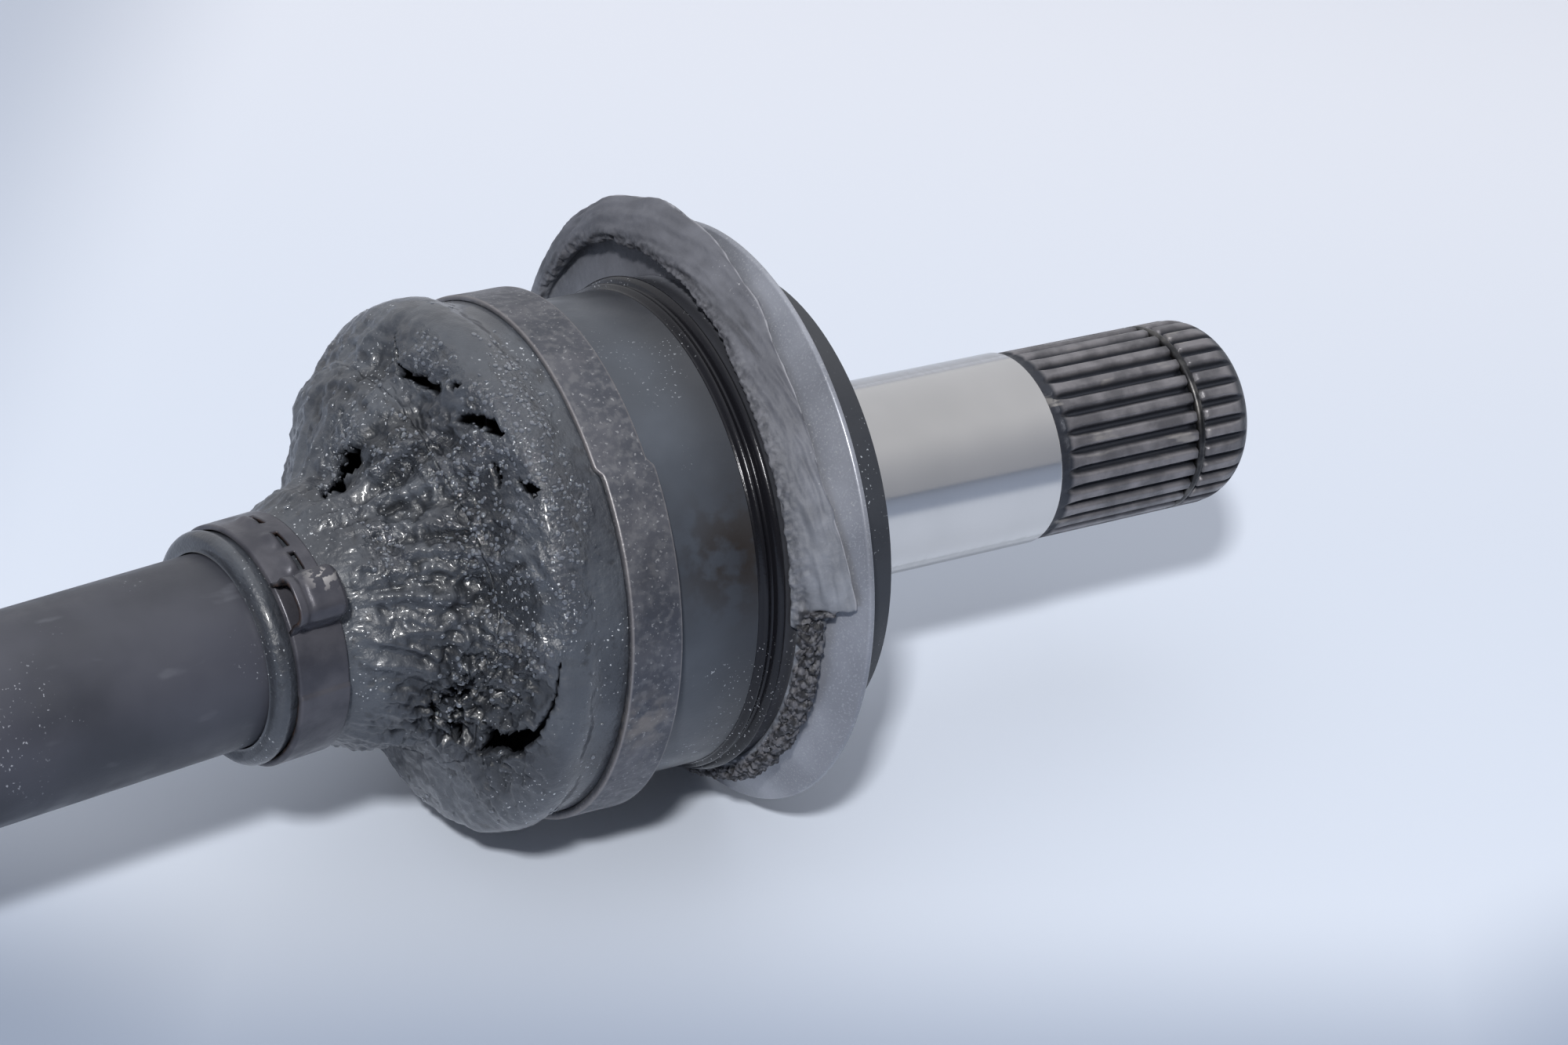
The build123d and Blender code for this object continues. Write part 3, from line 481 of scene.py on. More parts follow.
# sections of the lip at places round the can, degrees from the camera side over the top: (x, radius) from the
# underside of its front edge over the crest to the foot on the sleeve, then back up the front of the web
SEAL_SECTIONS = {
    11: [(20.9, 45.7), (20.8, 46.6), (23.4, 49.2), (26.4, 51.8), (28.7, 53.3), (29.4, 53.2), (28.6, 51.2),
         (27.0, 48.4), (25.6, 46.0), (24.8, 45.6), (23.4, 45.6), (22.2, 45.6)],
    36: [(20.9, 45.6), (20.6, 46.4), (22.6, 47.9), (24.9, 49.2), (26.8, 50.2), (27.6, 50.2), (27.2, 48.9),
         (26.4, 47.4), (25.6, 45.9), (24.8, 45.6), (23.4, 45.6), (22.2, 45.6)],
    61: [(21.0, 45.7), (20.5, 46.7), (22.4, 48.1), (24.8, 49.3), (26.7, 50.3), (27.6, 50.4), (27.3, 49.1),
         (26.4, 47.4), (25.6, 45.9), (24.8, 45.6), (23.6, 45.7), (22.4, 45.9)],
    80: [(22.0, 47.2), (21.0, 47.9), (22.2, 49.8), (25.0, 51.2), (27.6, 52.3), (28.6, 52.3), (28.2, 50.4),
         (27.0, 48.0), (25.9, 45.9), (25.1, 45.7), (24.8, 46.9), (23.6, 47.5)],
    97: [(22.2, 48.9), (21.2, 49.4), (21.9, 51.8), (24.6, 53.9), (27.6, 55.6), (28.8, 55.4), (28.5, 52.6),
         (27.3, 49.0), (25.9, 46.0), (25.1, 45.7), (25.3, 48.0), (24.4, 49.7)],
    113: [(22.2, 51.1), (21.0, 51.5), (20.8, 53.8), (22.7, 57.0), (25.3, 59.3), (27.3, 59.0), (27.9, 55.5),
          (27.2, 50.0), (25.9, 46.0), (25.1, 45.8), (25.7, 49.5), (24.9, 52.9)],
    126: [(22.4, 53.4), (21.1, 53.8), (20.4, 56.2), (21.2, 59.0), (23.1, 61.1), (25.4, 60.9), (27.0, 57.2),
          (26.9, 50.5), (25.8, 46.0), (25.0, 45.8), (25.4, 50.5), (24.8, 55.2)],
    141: [(22.8, 55.4), (21.5, 55.8), (20.6, 57.6), (20.9, 59.7), (22.4, 61.3), (24.4, 60.8), (26.2, 57.2),
          (26.4, 50.5), (25.7, 46.0), (24.9, 45.8), (24.9, 51.0), (24.7, 56.3)],
    160: [(22.9, 57.0), (21.9, 57.4), (21.1, 58.6), (21.3, 60.3), (22.5, 61.6), (24.2, 61.2), (25.8, 58.0),
          (26.1, 51.0), (25.7, 46.0), (24.8, 45.8), (24.6, 51.5), (24.3, 57.0)],
    185: [(22.7, 53.6), (21.8, 54.2), (21.2, 55.6), (21.4, 57.6), (22.7, 58.9), (24.4, 58.4), (25.8, 55.0),
          (26.1, 50.0), (25.7, 46.0), (24.8, 45.8), (24.5, 49.5), (24.1, 53.4)],
    205: [(22.0, 47.4), (21.2, 48.4), (21.4, 50.4), (22.6, 52.4), (24.2, 53.4), (25.4, 53.0), (26.0, 50.8),
          (26.1, 48.6), (25.7, 46.0), (24.8, 45.7), (24.2, 46.4), (23.2, 47.0)],
}
# what is left on the sleeve where the lip has gone
SEAL_STUMP = [(22.5, 45.6), (22.0, 46.5), (22.1, 47.8), (22.8, 49.1), (24.0, 49.9), (25.2, 49.8), (26.2, 48.9),
              (26.4, 47.6), (25.8, 46.1), (24.9, 45.6), (24.2, 45.6), (23.3, 45.6)]


def bumpy(points, size, seed=0.0, octaves=3):
    """Smooth noise from -1 to 1 at points in millimetres, with features about size long."""
    flat = points.reshape(-1, 3) / size + seed
    values = [noise.fractal(Vector(p), 0.9, 2.0, octaves, noise_basis="PERLIN_ORIGINAL") for p in flat]
    return np.array(values).reshape(points.shape[:-1])


def eased(share):
    """A number from 0 to 1, slowed at both ends."""
    share = np.clip(share, 0, 1)
    return share * share * (3 - 2 * share)


def hermite(t, a, b, m, n):
    """The cubic from a to b with slopes m and n."""
    return (2 * t**3 - 3 * t**2 + 1) * a + (3 * t**2 - 2 * t**3) * b + (t**3 - 2 * t**2 + t) * m + (t**3 - t**2) * n


def smooth_loop(corners, steps):
    """A closed curve through corners, which lie on the first axis, with steps points to each."""
    following = np.roll(corners, -1, 0)
    slope = (following - np.roll(corners, 1, 0)) / 2
    slope_after = np.roll(slope, -1, 0)
    t = (np.arange(steps) / steps)[None, :, None, None]
    a, b, m, n = (v[:, None] for v in (corners, following, slope, slope_after))
    return hermite(t, a, b, m * 0.9, n * 0.9).reshape(-1, *corners.shape[1:])


columns = 960
degrees = np.arange(columns) * 360.0 / columns
keys = sorted(SEAL_SECTIONS)
sections = np.array([SEAL_SECTIONS[k] for k in keys], float)
at = np.clip(np.searchsorted(keys, degrees, "right") - 1, 0, len(keys) - 2)
gap = np.diff(keys)[at]
share = eased((degrees - np.array(keys)[at]) / gap * 0.999)[:, None, None]
lip = sections[at] * (1 - share) + sections[at + 1] * share
wander = bumpy(on_can(24.0, 49.0, degrees) / MM, 6.0, 3.1)
stump = np.array(SEAL_STUMP)[None] + np.zeros_like(lip)
reach_of_corner = np.array([0, 0, 0.3, 0.7, 1, 1, 0.8, 0.3, 0, 0, 0, 0])
tear_at = SEAL_TEAR - 5.0 * (1 - reach_of_corner)[None, :]
held = np.clip((degrees[:, None] - tear_at) / 0.8, 0, 1) * np.clip((SEAL_END - degrees[:, None]) / 3.0, 0, 1)
stump[:, 2:7, 1] += 0.7 * wander[:, None]
corner_points = stump * (1 - held[..., None]) + lip * held[..., None]
curve = smooth_loop(corner_points.transpose(1, 0, 2), 8)
x, radius = curve[..., 0], curve[..., 1]
turns = degrees[None, :] + np.zeros_like(x)
base = on_can(x, radius, turns) / MM
torn = 1 - held[:, 4][None, :] + np.zeros_like(x)
run = np.arange(len(x))[:, None] / 8.0 + np.zeros_like(x)
front_edge = np.exp(-((run - 1.1) / 0.8) ** 2)
outer_skin = eased((run - 0.6) / 1.0) * eased((6.3 - run) / 1.0)
across = np.hypot(np.diff(x, axis=0, prepend=x[:1]), np.diff(radius, axis=0, prepend=radius[:1])).cumsum(0)
length = turns * np.radians(1) * 50.0
folds = bumpy(np.stack([across * 0.95 + length * 0.16, length * 0.15, across * 0], -1), 1.5, 1.7, 3)
waves = bumpy(np.stack([across * 0.5 + length * 0.1, length * 0.12, across * 0], -1), 3.4, 8.7, 2)
crumbs = bumpy(base, 1.3, 5.2, 3)
whole_skin = (1 - torn) * outer_skin
rise = whole_skin * (0.60 * folds + 0.80 * waves) + (1 - torn) * front_edge * 0.55 * crumbs
rise += torn * outer_skin * (0.75 * crumbs - 1.3 * np.clip(-crumbs - 0.12, 0, 0.5) - 0.15)
rise += torn * (1 - outer_skin) * 0.15 * crumbs * (radius > 46.3)
tangent = np.roll(curve, -1, 0) - np.roll(curve, 1, 0)
tangent /= np.linalg.norm(tangent, axis=-1, keepdims=True) + 1e-9
x, radius = x - tangent[..., 1] * rise, radius + tangent[..., 0] * rise
seal_rows = on_can(x, radius, turns)
crumbly = np.clip(torn * outer_skin + front_edge * 0.5 * (1 - torn), 0, 1)

seal_finish, tree, shader = new_finish("seal_rubber", (0.14, 0.145, 0.165), 0.60, 0.0, Specular_IOR_Level=0.4)
dry = clouds(tree, 130, 5, 0.33, 0.68)
# Painted light and shade: the rubber is coloured darker over the top and lighter low down.
top = tint(tree, dry, (0.098, 0.101, 0.117), (0.138, 0.142, 0.163))
low = tint(tree, dry, (0.165, 0.177, 0.203), (0.240, 0.257, 0.295))
colour = tint(tree, between(tree, along(tree, "Z"), 0.000, 0.045), low, top)
# Painted shade: the creases between the folds are coloured dark.
colour = tint(tree, between(tree, marked(tree, "crease_shade"), 0.1, 0.8, 0.0, 0.65), colour, (0.040, 0.041, 0.048))
porous = clouds(tree, 900, 3, 0.42, 0.60)
rotten = tint(tree, porous, (0.022, 0.022, 0.025), (0.115, 0.115, 0.128))
colour = tint(tree, marked(tree, "crumbly"), colour, rotten)
# Painted highlight: a light line along the crest of the lip.
colour = tint(tree, combine(tree, marked(tree, "rim_highlight"), 0.6), colour, (0.44, 0.44, 0.47))
colour = tint(tree, specks(tree, 1900, 0.05), colour, (0.42, 0.42, 0.44))
painted(tree, shader, colour)
relief(tree, shader, (mottle(tree, 700, 4), 0.00018), (mottle(tree, 2200, 2), 0.00004))
# where the painted shade lies: the hollows of the folds
crease_shades = np.clip(-(0.6 * folds + 0.8 * waves), 0, 1) * whole_skin
# where the painted highlight lies: along the crest of the lip
rim_highlight_line = np.exp(-((run - 4.55) / 0.13) ** 2) * (1 - torn) * (np.abs(folds) < 0.5)
seal = new_piece("seal", seal_rows.reshape(-1, 3), ring_faces(len(x), columns), seal_finish,
                 {"crease_shade": crease_shades, "crumbly": crumbly, "rim_highlight": rim_highlight_line})
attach(seal, "inner_housing")
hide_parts("dust_seal")

# Tripod and rollers: ground bearing steel under a film of grease. The spider's three arms end in balls, and each
# carries a needle-bearing roller that runs in its own track of the can.
bearing_finish, tree, shader = new_finish("bearing_steel", (0.55, 0.55, 0.54), 0.22, 1.0)
smear = clouds(tree, 140, 4, 0.4, 0.68)
painted(tree, shader, tint(tree, smear, (0.56, 0.555, 0.54), (0.20, 0.19, 0.18)))
uneven_gloss(tree, shader, 400, 0.16, 0.34)
relief(tree, shader, (mottle(tree, 2500, 2), 0.00001))
give(bearing_finish, "tripod_spider", "inner_race", *[n for n in nodes if n.startswith(("roller_", "bearing_ball"))])

# Bar: a steel tube, swaged down to a splined neck at each joint and stove-painted satin black. It is scuffed,
# with pale specks near the boot.
REST_BEND = 7.5
bar_finish, tree, shader = new_finish("bar_paint", (0.035, 0.036, 0.042), 0.42, 0.0, Specular_IOR_Level=0.5)
haze = clouds(tree, 30, 4, 0.35, 0.7)
colour = tint(tree, haze, (0.036, 0.038, 0.048), (0.060, 0.062, 0.078))
scuff = combine(tree, between(tree, mottle(tree, 170, 3, (0.4, 1, 1)), 0.63, 0.74), 0.5)
colour = tint(tree, scuff, colour, (0.115, 0.120, 0.140))
colour = tint(tree, specks(tree, 1700, 0.06), colour, (0.30, 0.31, 0.34))
painted(tree, shader, colour)
uneven_gloss(tree, shader, 150, 0.38, 0.52)
relief(tree, shader, (mottle(tree, 1800, 3), 0.00002))
give(bar_finish, "axle_shaft")

# Inner boot: a moulded rubber bellows, held by a band at each end. Here it has perished: twisted down on to the
# bar, split in several places, and wet with the joint's grease, which stands on it in fine beads.
BOOT_SEAM = 35.5
BOOT_WALL = 2.4
BAR_SEAT_R = 17.55
CAN_SEAT_R = 44.55
DROPS = 600000.0
DROP_R = 0.00044
BOOT_PROFILE = [
    (3.4, 47.15, 0.0), (14.5, 47.15, 0.0), (17.5, 47.25, 0.0), (22.0, 48.4, 0.1), (27.0, 47.4, 0.3),
    (31.0, 43.0, 0.5), (34.5, 35.5, 0.65), (39.0, 29.5, 0.8), (46.0, 25.8, 0.95), (54.0, 23.0, 1.0),
    (59.3, 20.35, 1.0), (69.6, 20.3, 1.0), (70.2, 20.5, 1.0), (71.4, 20.95, 1.0), (72.6, 20.5, 1.0),
    (73.2, 19.4, 1.0), (73.25, 18.3, 1.0),
]
# lobes and hollows of the collapsed rubber: (s, degrees, reach along, reach round, rise)
LOBES = [
    (38.0, 134, 5.8, 30, 9.2), (38.5, 97, 4.4, 18, 3.9), (46.0, 103, 3.6, 12, -4.4), (33.2, 84, 2.4, 28, -2.9),
    (30.0, 53, 3.5, 10, -2.2), (42.0, 36, 5.1, 22, 2.2), (36.8, -14, 4.4, 15, -6.5), (39.0, -76, 6.6, 30, -4.8),
    (27.0, 120, 6.0, 40, 1.2), (44.0, 62, 4.0, 14, -1.6), (33.0, 15, 3.0, 16, 1.5), (49.0, 140, 3.5, 26, -1.2),
]
# tears as strokes of (s, degrees, half width)
TEARS = [
    [(30.2, 107.5, 0.25), (31.5, 105, 0.35), (32.4, 101, 0.5), (32.2, 95, 0.55), (31.6, 89, 0.75), (31.3, 84, 0.4)],
    [(30.3, 81, 0.3), (30.0, 79.5, 0.6), (29.3, 78, 0.4)],
    [(31.3, 74, 0.5), (30.3, 70, 1.0), (29.2, 66, 1.2), (28.4, 63, 0.7)],
    [(30.6, 59, 0.5), (30.4, 56, 0.8), (31.0, 54, 0.6)],
    [(28.5, 52, 0.4), (27.7, 50, 0.9), (26.9, 48, 1.1)],
    [(51.5, 92, 0.3), (50.0, 99, 0.8), (46.3, 105, 1.2), (43.8, 105, 1.4), (43.0, 99, 0.8)],
    [(28.4, 11, 0.25), (29.0, 4, 0.4), (29.8, -2, 0.5), (30.6, -8, 0.8), (31.8, -15, 1.3), (33.0, -21, 1.3),
     (34.0, -27, 0.8), (34.6, -33, 0.4)],
    [(40.0, -1, 0.5), (38.2, -4, 1.0), (36.6, -6, 1.2), (35.6, -9, 0.6)],
    [(45.0, -12, 0.5), (43.0, -18, 0.9), (41.0, -24, 0.5)],
    [(39.0, -27, 0.5), (37.6, -32, 0.9), (37.0, -35, 0.4)],
]
# where the grease stands in beads: (s, degrees, reach along, reach round)
WET = [(35.0, 42, 6.0, 17), (19.5, 44, 4.5, 13), (24.0, 60, 5.0, 14), (33.0, 64, 3.5, 10), (20.5, 74, 3.5, 12),
       (40.0, 84, 4.5, 10), (48.0, 60, 4.0, 14), (33.5, 10, 4.0, 10), (45.5, 108, 5.0, 9), (30.0, 92, 2.5, 12),
       (41.0, -20, 5.0, 14), (25.0, 30, 4.0, 14)]


def on_joint(s, radius, degrees, bend):
    """Points of a piece that goes round the bend: s towards the bar, bend as a share of the rest bend."""
    turned = np.radians(degrees)
    s, radius, turned, bend = np.broadcast_arrays(s, radius, turned, bend)
    swing = np.radians(REST_BEND * bend)
    y = -radius * np.cos(turned)
    x = -s * np.cos(swing) - y * np.sin(swing)
    return np.stack([x + CENTRE_X, -s * np.sin(swing) + y * np.cos(swing), radius * np.sin(turned)], -1) * MM


def on_bar(s, radius, degrees):
    """Points round the bar's axis, s from the inner joint's centre."""
    return on_joint(s, radius, degrees, 1.0)


def spot(s, turns, at_s, at_turn, half_s, half_turn):
    """1 at a place on the boot, fading out over the given reach."""
    away = (turns - at_turn + 180.0) % 360.0 - 180.0
    return np.exp(-((s - at_s) / half_s) ** 2 - (away / half_turn) ** 2)


def arc_rows(profile, pitch):
    """Smooth rows along a profile of (s, radius, bend), about pitch apart along its skin."""
    s, r, b = (np.array(v, float) for v in zip(*profile))
    run = np.concatenate([[0], np.cumsum(np.hypot(np.diff(s), np.diff(r)))])
    slope = np.gradient(np.stack([s, r, b]), run, axis=1)
    fine = np.linspace(0, run[-1], int(run[-1] / pitch))
    at = np.clip(np.searchsorted(run, fine, "right") - 1, 0, len(run) - 2)
    length = run[at + 1] - run[at]
    t = (fine - run[at]) / length
    rows = []
    for values, slopes in zip((s, r, b), slope):
        rows.append(hermite(t, values[at], values[at + 1], slopes[at] * length, slopes[at + 1] * length))
    return rows


def walled_piece(name, outside, inside, material, marks=None, kept=None, closed=True):
    """A wall between two grids of points, rows by columns, left open where kept is False."""
    count, around = outside.shape[:2]
    points = np.concatenate([outside.reshape(-1, 3), inside.reshape(-1, 3)])
    shift = count * around
    faces, edges = [], {}
    for i in range(count - 1):
        for j in range(around if closed else around - 1):
            if kept is not None and not kept[i, j]:
                continue
            k = (j + 1) % around
            corners = (i * around + j, i * around + k, (i + 1) * around + k, (i + 1) * around + j)
            faces.append(corners)
            faces.append(tuple(c + shift for c in reversed(corners)))
            for a, b in zip(corners, corners[1:] + corners[:1]):
                if (b, a) in edges:
                    del edges[(b, a)]
                else:
                    edges[(a, b)] = True
    faces += [(b, a, a + shift, b + shift) for a, b in edges]
    used = sorted({c for f in faces for c in f})
    number = {c: n for n, c in enumerate(used)}
    both = {mark: np.concatenate([np.ravel(grid), np.zeros(shift)])[used] for mark, grid in (marks or {}).items()}
    return new_piece(name, points[used], [tuple(number[c] for c in f) for f in faces], material, both)


boot_s, boot_r, boot_b = arc_rows(BOOT_PROFILE, 0.5)
columns = 440
degrees = np.arange(columns) * 360.0 / columns - 180.0
s = boot_s[:, None] + np.zeros(columns)
turns = degrees[None, :] + np.zeros_like(s)
lobed = sum(rise * spot(s, turns, *place) for *place, rise in LOBES)
radius = boot_r[:, None] + lobed * np.clip((s - 17.5) / 4, 0, 1)
bend = boot_b[:, None] + np.zeros_like(s)
plain = on_joint(s, radius, turns, bend) / MM
side = np.roll(plain, -1, 1) - np.roll(plain, 1, 1)
normal = np.cross(side, np.gradient(plain, axis=0))
normal /= np.linalg.norm(normal, axis=-1, keepdims=True)
free = np.clip((s - 16.0) / 3.0, 0, 1) * np.clip((60.5 - s) / 3.5, 0, 1)
centre_fold = spot(s, turns, 38.0, 60, 11.0, 56)
lower_fold = spot(s, turns, 38.5, -16, 9.0, 28)
crumpled = np.clip((s - 26.0) / 6.0, 0, 1) * np.clip((58.0 - s) / 4.0, 0, 1)
crumpled *= np.clip(0.35 + 0.75 * centre_fold + 0.9 * lower_fold, 0, 1.15)
lumps = bumpy(plain, 15.0, 2.3, 2)
along_twist = s * 0.9 + turns * 0.22
across_twist = s * 0.35 - turns * 0.42
strands = bumpy(np.stack([across_twist, along_twist * 0.16, radius * 0.05], -1), 2.4, 7.7, 3)
pleats = -np.abs(bumpy(np.stack([across_twist, along_twist * 0.22, radius * 0.1], -1), 6.0, 4.1, 2))
crumbs = bumpy(plain, 2.0, 9.4, 3)
pits = np.clip(-bumpy(plain, 3.0, 12.9, 2) - 0.2, 0, 1)
rise = free * (0.55 * lumps + 0.12 * crumbs)
rise += crumpled * (0.9 * lumps + 1.3 * strands + 2.6 * pleats + 0.8 + 0.9 * crumbs - 1.6 * pits)
rise += lower_fold * crumpled * (1.2 * crumbs - 3.6 * pits)
rise = np.clip(rise, -0.8 - 4.2 * np.clip((s - 35.5) / 4.0, 0, 1), 3.0)
outside = plain + normal * rise[..., None]
kept = np.ones((len(boot_s) - 1, columns), bool)
middle_s, middle_t, middle_r = (s[:-1] + s[1:]) / 2, turns[:-1] + 180.0 / columns, radius[:-1]
rag = bumpy(plain, 1.6, 21.0, 2)[:-1]
stretch = np.minimum(0.5 / np.maximum(np.gradient(boot_s), 0.08), 1.6)[:-1, None]
for stroke in TEARS:
    for (s0, t0, w0), (s1, t1, w1) in zip(stroke, stroke[1:]):
        du, dv = (middle_s - s0) * stretch, (middle_t - t0) * np.radians(1) * middle_r
        eu, ev = (s1 - s0) * stretch, (t1 - t0) * np.radians(1) * middle_r
        share = np.clip((du * eu + dv * ev) / np.maximum(eu * eu + ev * ev, 1e-9), 0, 1)
        gap = np.hypot(du - share * eu, dv - share * ev)
        kept &= gap > (w0 + (w1 - w0) * share) * (1 + 0.45 * rag)
inside = plain + normal * (rise - BOOT_WALL)[..., None]
tight = np.clip((s - 56.0) / 3.3, 0, 1)[..., None]
seated = on_joint(s, np.where(s > 56, BAR_SEAT_R, radius - BOOT_WALL), turns, bend) / MM
inside = inside * (1 - tight) + seated * tight
held = np.clip((14.0 - s) / 1.0, 0, 1)[..., None]
inside = inside * (1 - held) + on_joint(s, CAN_SEAT_R, turns, bend) / MM * held
patches = bumpy(plain, 7.0, 33.0, 3)
# Painted shade: the deep folds, pleats and pits of the crumpled rubber are marked to be coloured dark.
deep = crumpled * (0.55 - 1.1 * pleats - 0.5 * strands - 0.4 * crumbs + 1.6 * pits)
deep = np.clip(deep - 0.42 + 0.5 * lower_fold, 0, 1)
wet = np.clip(sum(spot(s, turns, *place) for place in WET) * 1.1 + 0.5 * patches - 0.22, 0, 1) + 0.06 * (patches > 0)
wet = wet * np.clip((s - 14.6) / 1.5, 0, 1) * np.clip((57.0 - s) / 3.0, 0, 1)

boot_finish, tree, shader = new_finish("boot_rubber", (0.06, 0.065, 0.075), 0.40, 0.0, Specular_IOR_Level=0.6,
                                       Coat_Weight=0.45, Coat_Roughness=0.10)
blotch = clouds(tree, 75, 4, 0.35, 0.68)
fibre = mottle(tree, 380, 5, (1, 0.4, 1))
grain = mottle(tree, 1500, 3)
crinkle = combine(tree, mottle(tree, 950, 5), between(tree, marked(tree, "wet"), 0.05, 0.5, 0.15, 1.0))
colour = tint(tree, blotch, (0.036, 0.040, 0.049), (0.066, 0.074, 0.088))
colour = tint(tree, between(tree, marked(tree, "wet"), 0.2, 0.8, 0.0, 0.5), colour, (0.044, 0.048, 0.058))
# Painted shade: darker in the hollows of the fibre relief.
colour = tint(tree, between(tree, fibre, 0.30, 0.42, 0.7, 0.0), colour, (0.022, 0.024, 0.029))
# painted shade in the deep folds and pits
colour = tint(tree, between(tree, marked(tree, "deep"), 0.05, 0.7, 0.0, 0.85), colour, (0.016, 0.018, 0.022))
colour = tint(tree, specks(tree, 1700, 0.13), colour, (0.50, 0.52, 0.55))
painted(tree, shader, colour)
tree.links.new(between(tree, marked(tree, "wet"), 0.1, 0.6, 0.46, 0.15), shader.inputs["Roughness"])
relief(tree, shader, (fibre, 0.0005), (grain, 0.00012), (crinkle, 0.0006))
seam = int(np.argmin(np.abs(boot_s - BOOT_SEAM)))
boot_parts = []
for name, part in (("boot_large_end", slice(0, seam + 1)), ("boot_small_end", slice(seam, None))):
    piece = walled_piece(name, outside[part] * MM, inside[part] * MM, boot_finish,
                         {"wet": wet[part], "deep": deep[part]}, kept[part][:len(outside[part]) - 1])
    boot_parts.append(piece)

grease_finish = new_finish("grease", (0.10, 0.11, 0.13), 0.08, 0.0, Specular_IOR_Level=1.0, Coat_Weight=1.0,
                           Coat_Roughness=0.05)[0]


def beaded(tree, given):
    """Drops of random size on the given skin, dense where it is wet."""
    wetness = wired(tree, "GeometryNodeInputNamedAttribute", {"Name": "wet"})
    density = combine(tree, wetness.outputs["Attribute"], 1.4, "POWER")
    density = combine(tree, density, given["Drops per square metre"])
    scatter = wired(tree, "GeometryNodeDistributePointsOnFaces",
                    {"Mesh": given["Geometry"], "Density": density, "Seed": given["Seed"]}).outputs
    ball = wired(tree, "GeometryNodeMeshIcoSphere", {"Subdivisions": 2, "Radius": given["Drop radius"]})
    drop = wired(tree, "GeometryNodeSetShadeSmooth", {"Geometry": ball.outputs["Mesh"]}).outputs["Geometry"]
    size = wired(tree, "FunctionNodeRandomValue",
                 {0: (0.45, 0.45, 0.30), 1: (1.30, 1.30, 0.75), "Seed": given["Seed"]})
    size.data_type = "FLOAT_VECTOR"
    drops = wired(tree, "GeometryNodeInstanceOnPoints",
                  {"Points": scatter["Points"], "Instance": drop, "Rotation": scatter["Rotation"],
                   "Scale": size.outputs[0]}).outputs["Instances"]
    return wired(tree, "GeometryNodeRealizeInstances", {"Geometry": drops}).outputs["Geometry"]


def axis_point(s, bend):
    """A point on the boot's axis."""
    return tuple(on_joint(s, 0.0, 0.0, bend).tolist())


for piece, (first, second), (start, end) in zip(
        boot_parts, (("inner_housing", "roller_top"), ("roller_top", "shaft")),
        ((axis_point(8.5, 0), axis_point(34.0, 0.45)), (axis_point(36.0, 1), axis_point(55.0, 1)))):
    drops = grown(piece, piece.name + "_grease", beaded,
                  [("Drops per square metre", "NodeSocketFloat", DROPS), ("Seed", "NodeSocketInt", 4),
                   ("Drop radius", "NodeSocketFloat", DROP_R)], grease_finish)
    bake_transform(piece)
    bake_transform(drops)
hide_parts("inner_boot")

# Large boot clamps: a thin stainless band drawn tight round the boot, its tail lapped over the lower half and
# spot-welded. The band has gone brown-grey with road dust, but its cut edges are bare, and a painted highlight lies
# along them.
BAND_R = 47.25
TAIL_EDGE = 48.0
BAND_FROM = -13.75
BAND_SHIFT = 1.9
band_finish, tree, shader = new_finish("clamp_band", (0.10, 0.10, 0.105), 0.46, 0.6)
rust = clouds(tree, 70, 5, 0.36, 0.66)
dust = clouds(tree, 700, 4, 0.44, 0.66)
pale = clouds(tree, 1500, 2, 0.64, 0.70)
colour = tint(tree, rust, (0.080, 0.084, 0.100), (0.128, 0.129, 0.145))
colour = tint(tree, combine(tree, dust, 0.55), colour, (0.190, 0.190, 0.200))
colour = tint(tree, combine(tree, pale, 0.7), colour, (0.36, 0.36, 0.37))
patch = near(tree, (-0.0845, -0.0470, -0.0066), 0.0095)
patch = combine(tree, patch, clouds(tree, 300, 3, 0.35, 0.6))
colour = tint(tree, combine(tree, patch, 0.8), colour, (0.250, 0.225, 0.205))
# The cut edges: bare metal, painted lighter with a highlight.
colour = tint(tree, combine(tree, marked(tree, "edge"), 0.6), colour, (0.33, 0.31, 0.31))
painted(tree, shader, colour)
uneven_gloss(tree, shader, 240, 0.38, 0.56)
relief(tree, shader, (mottle(tree, 1100, 4), 0.00008))


def lapped_band(name, place, body, node):
    """A large clamp, x from its own joint, with a step at the side of the lap."""
    count = 480
    degrees = np.arange(count) * 360.0 / count - 180.0
    cross = [(0.0, 0.0), (0.03, 0.62), (0.16, 0.84), (0.5, 0.86), (5.0, 0.80), (9.7, 0.86), (10.04, 0.84),
             (10.17, 0.62), (10.2, 0.0)]
    lap = 1.0 / (1.0 + np.exp((degrees - TAIL_EDGE) / 0.35))
    sag = 0.25 * np.sin(np.radians(degrees * 2 + 40)) + 0.12 * np.sin(np.radians(degrees * 5))
    rows, under, bright = [], [], []
    for x, rise in cross:
        edge_x = x + BAND_FROM + 0.85 * lap + sag * (1 - x / 12.0)
        rows.append(place(edge_x, BAND_R + rise + 0.62 * lap + 0.02, degrees))
        under.append(place(edge_x, BAND_R - 0.02, degrees))
        # 1 along the cut edges, which are bare and carry a painted highlight
        bright.append(np.full(count, 1.0 if 0.02 < x < 0.3 or 9.9 < x < 10.18 else 0.0))
    piece = walled_piece(name, np.array(rows)[::-1], np.array(under)[::-1], band_finish,
                         {"edge": np.array(bright)[::-1]})
    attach(piece, body)
    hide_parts(node)


lapped_band("inner_band", on_can, "inner_housing", "inner_boot_large_clamp")

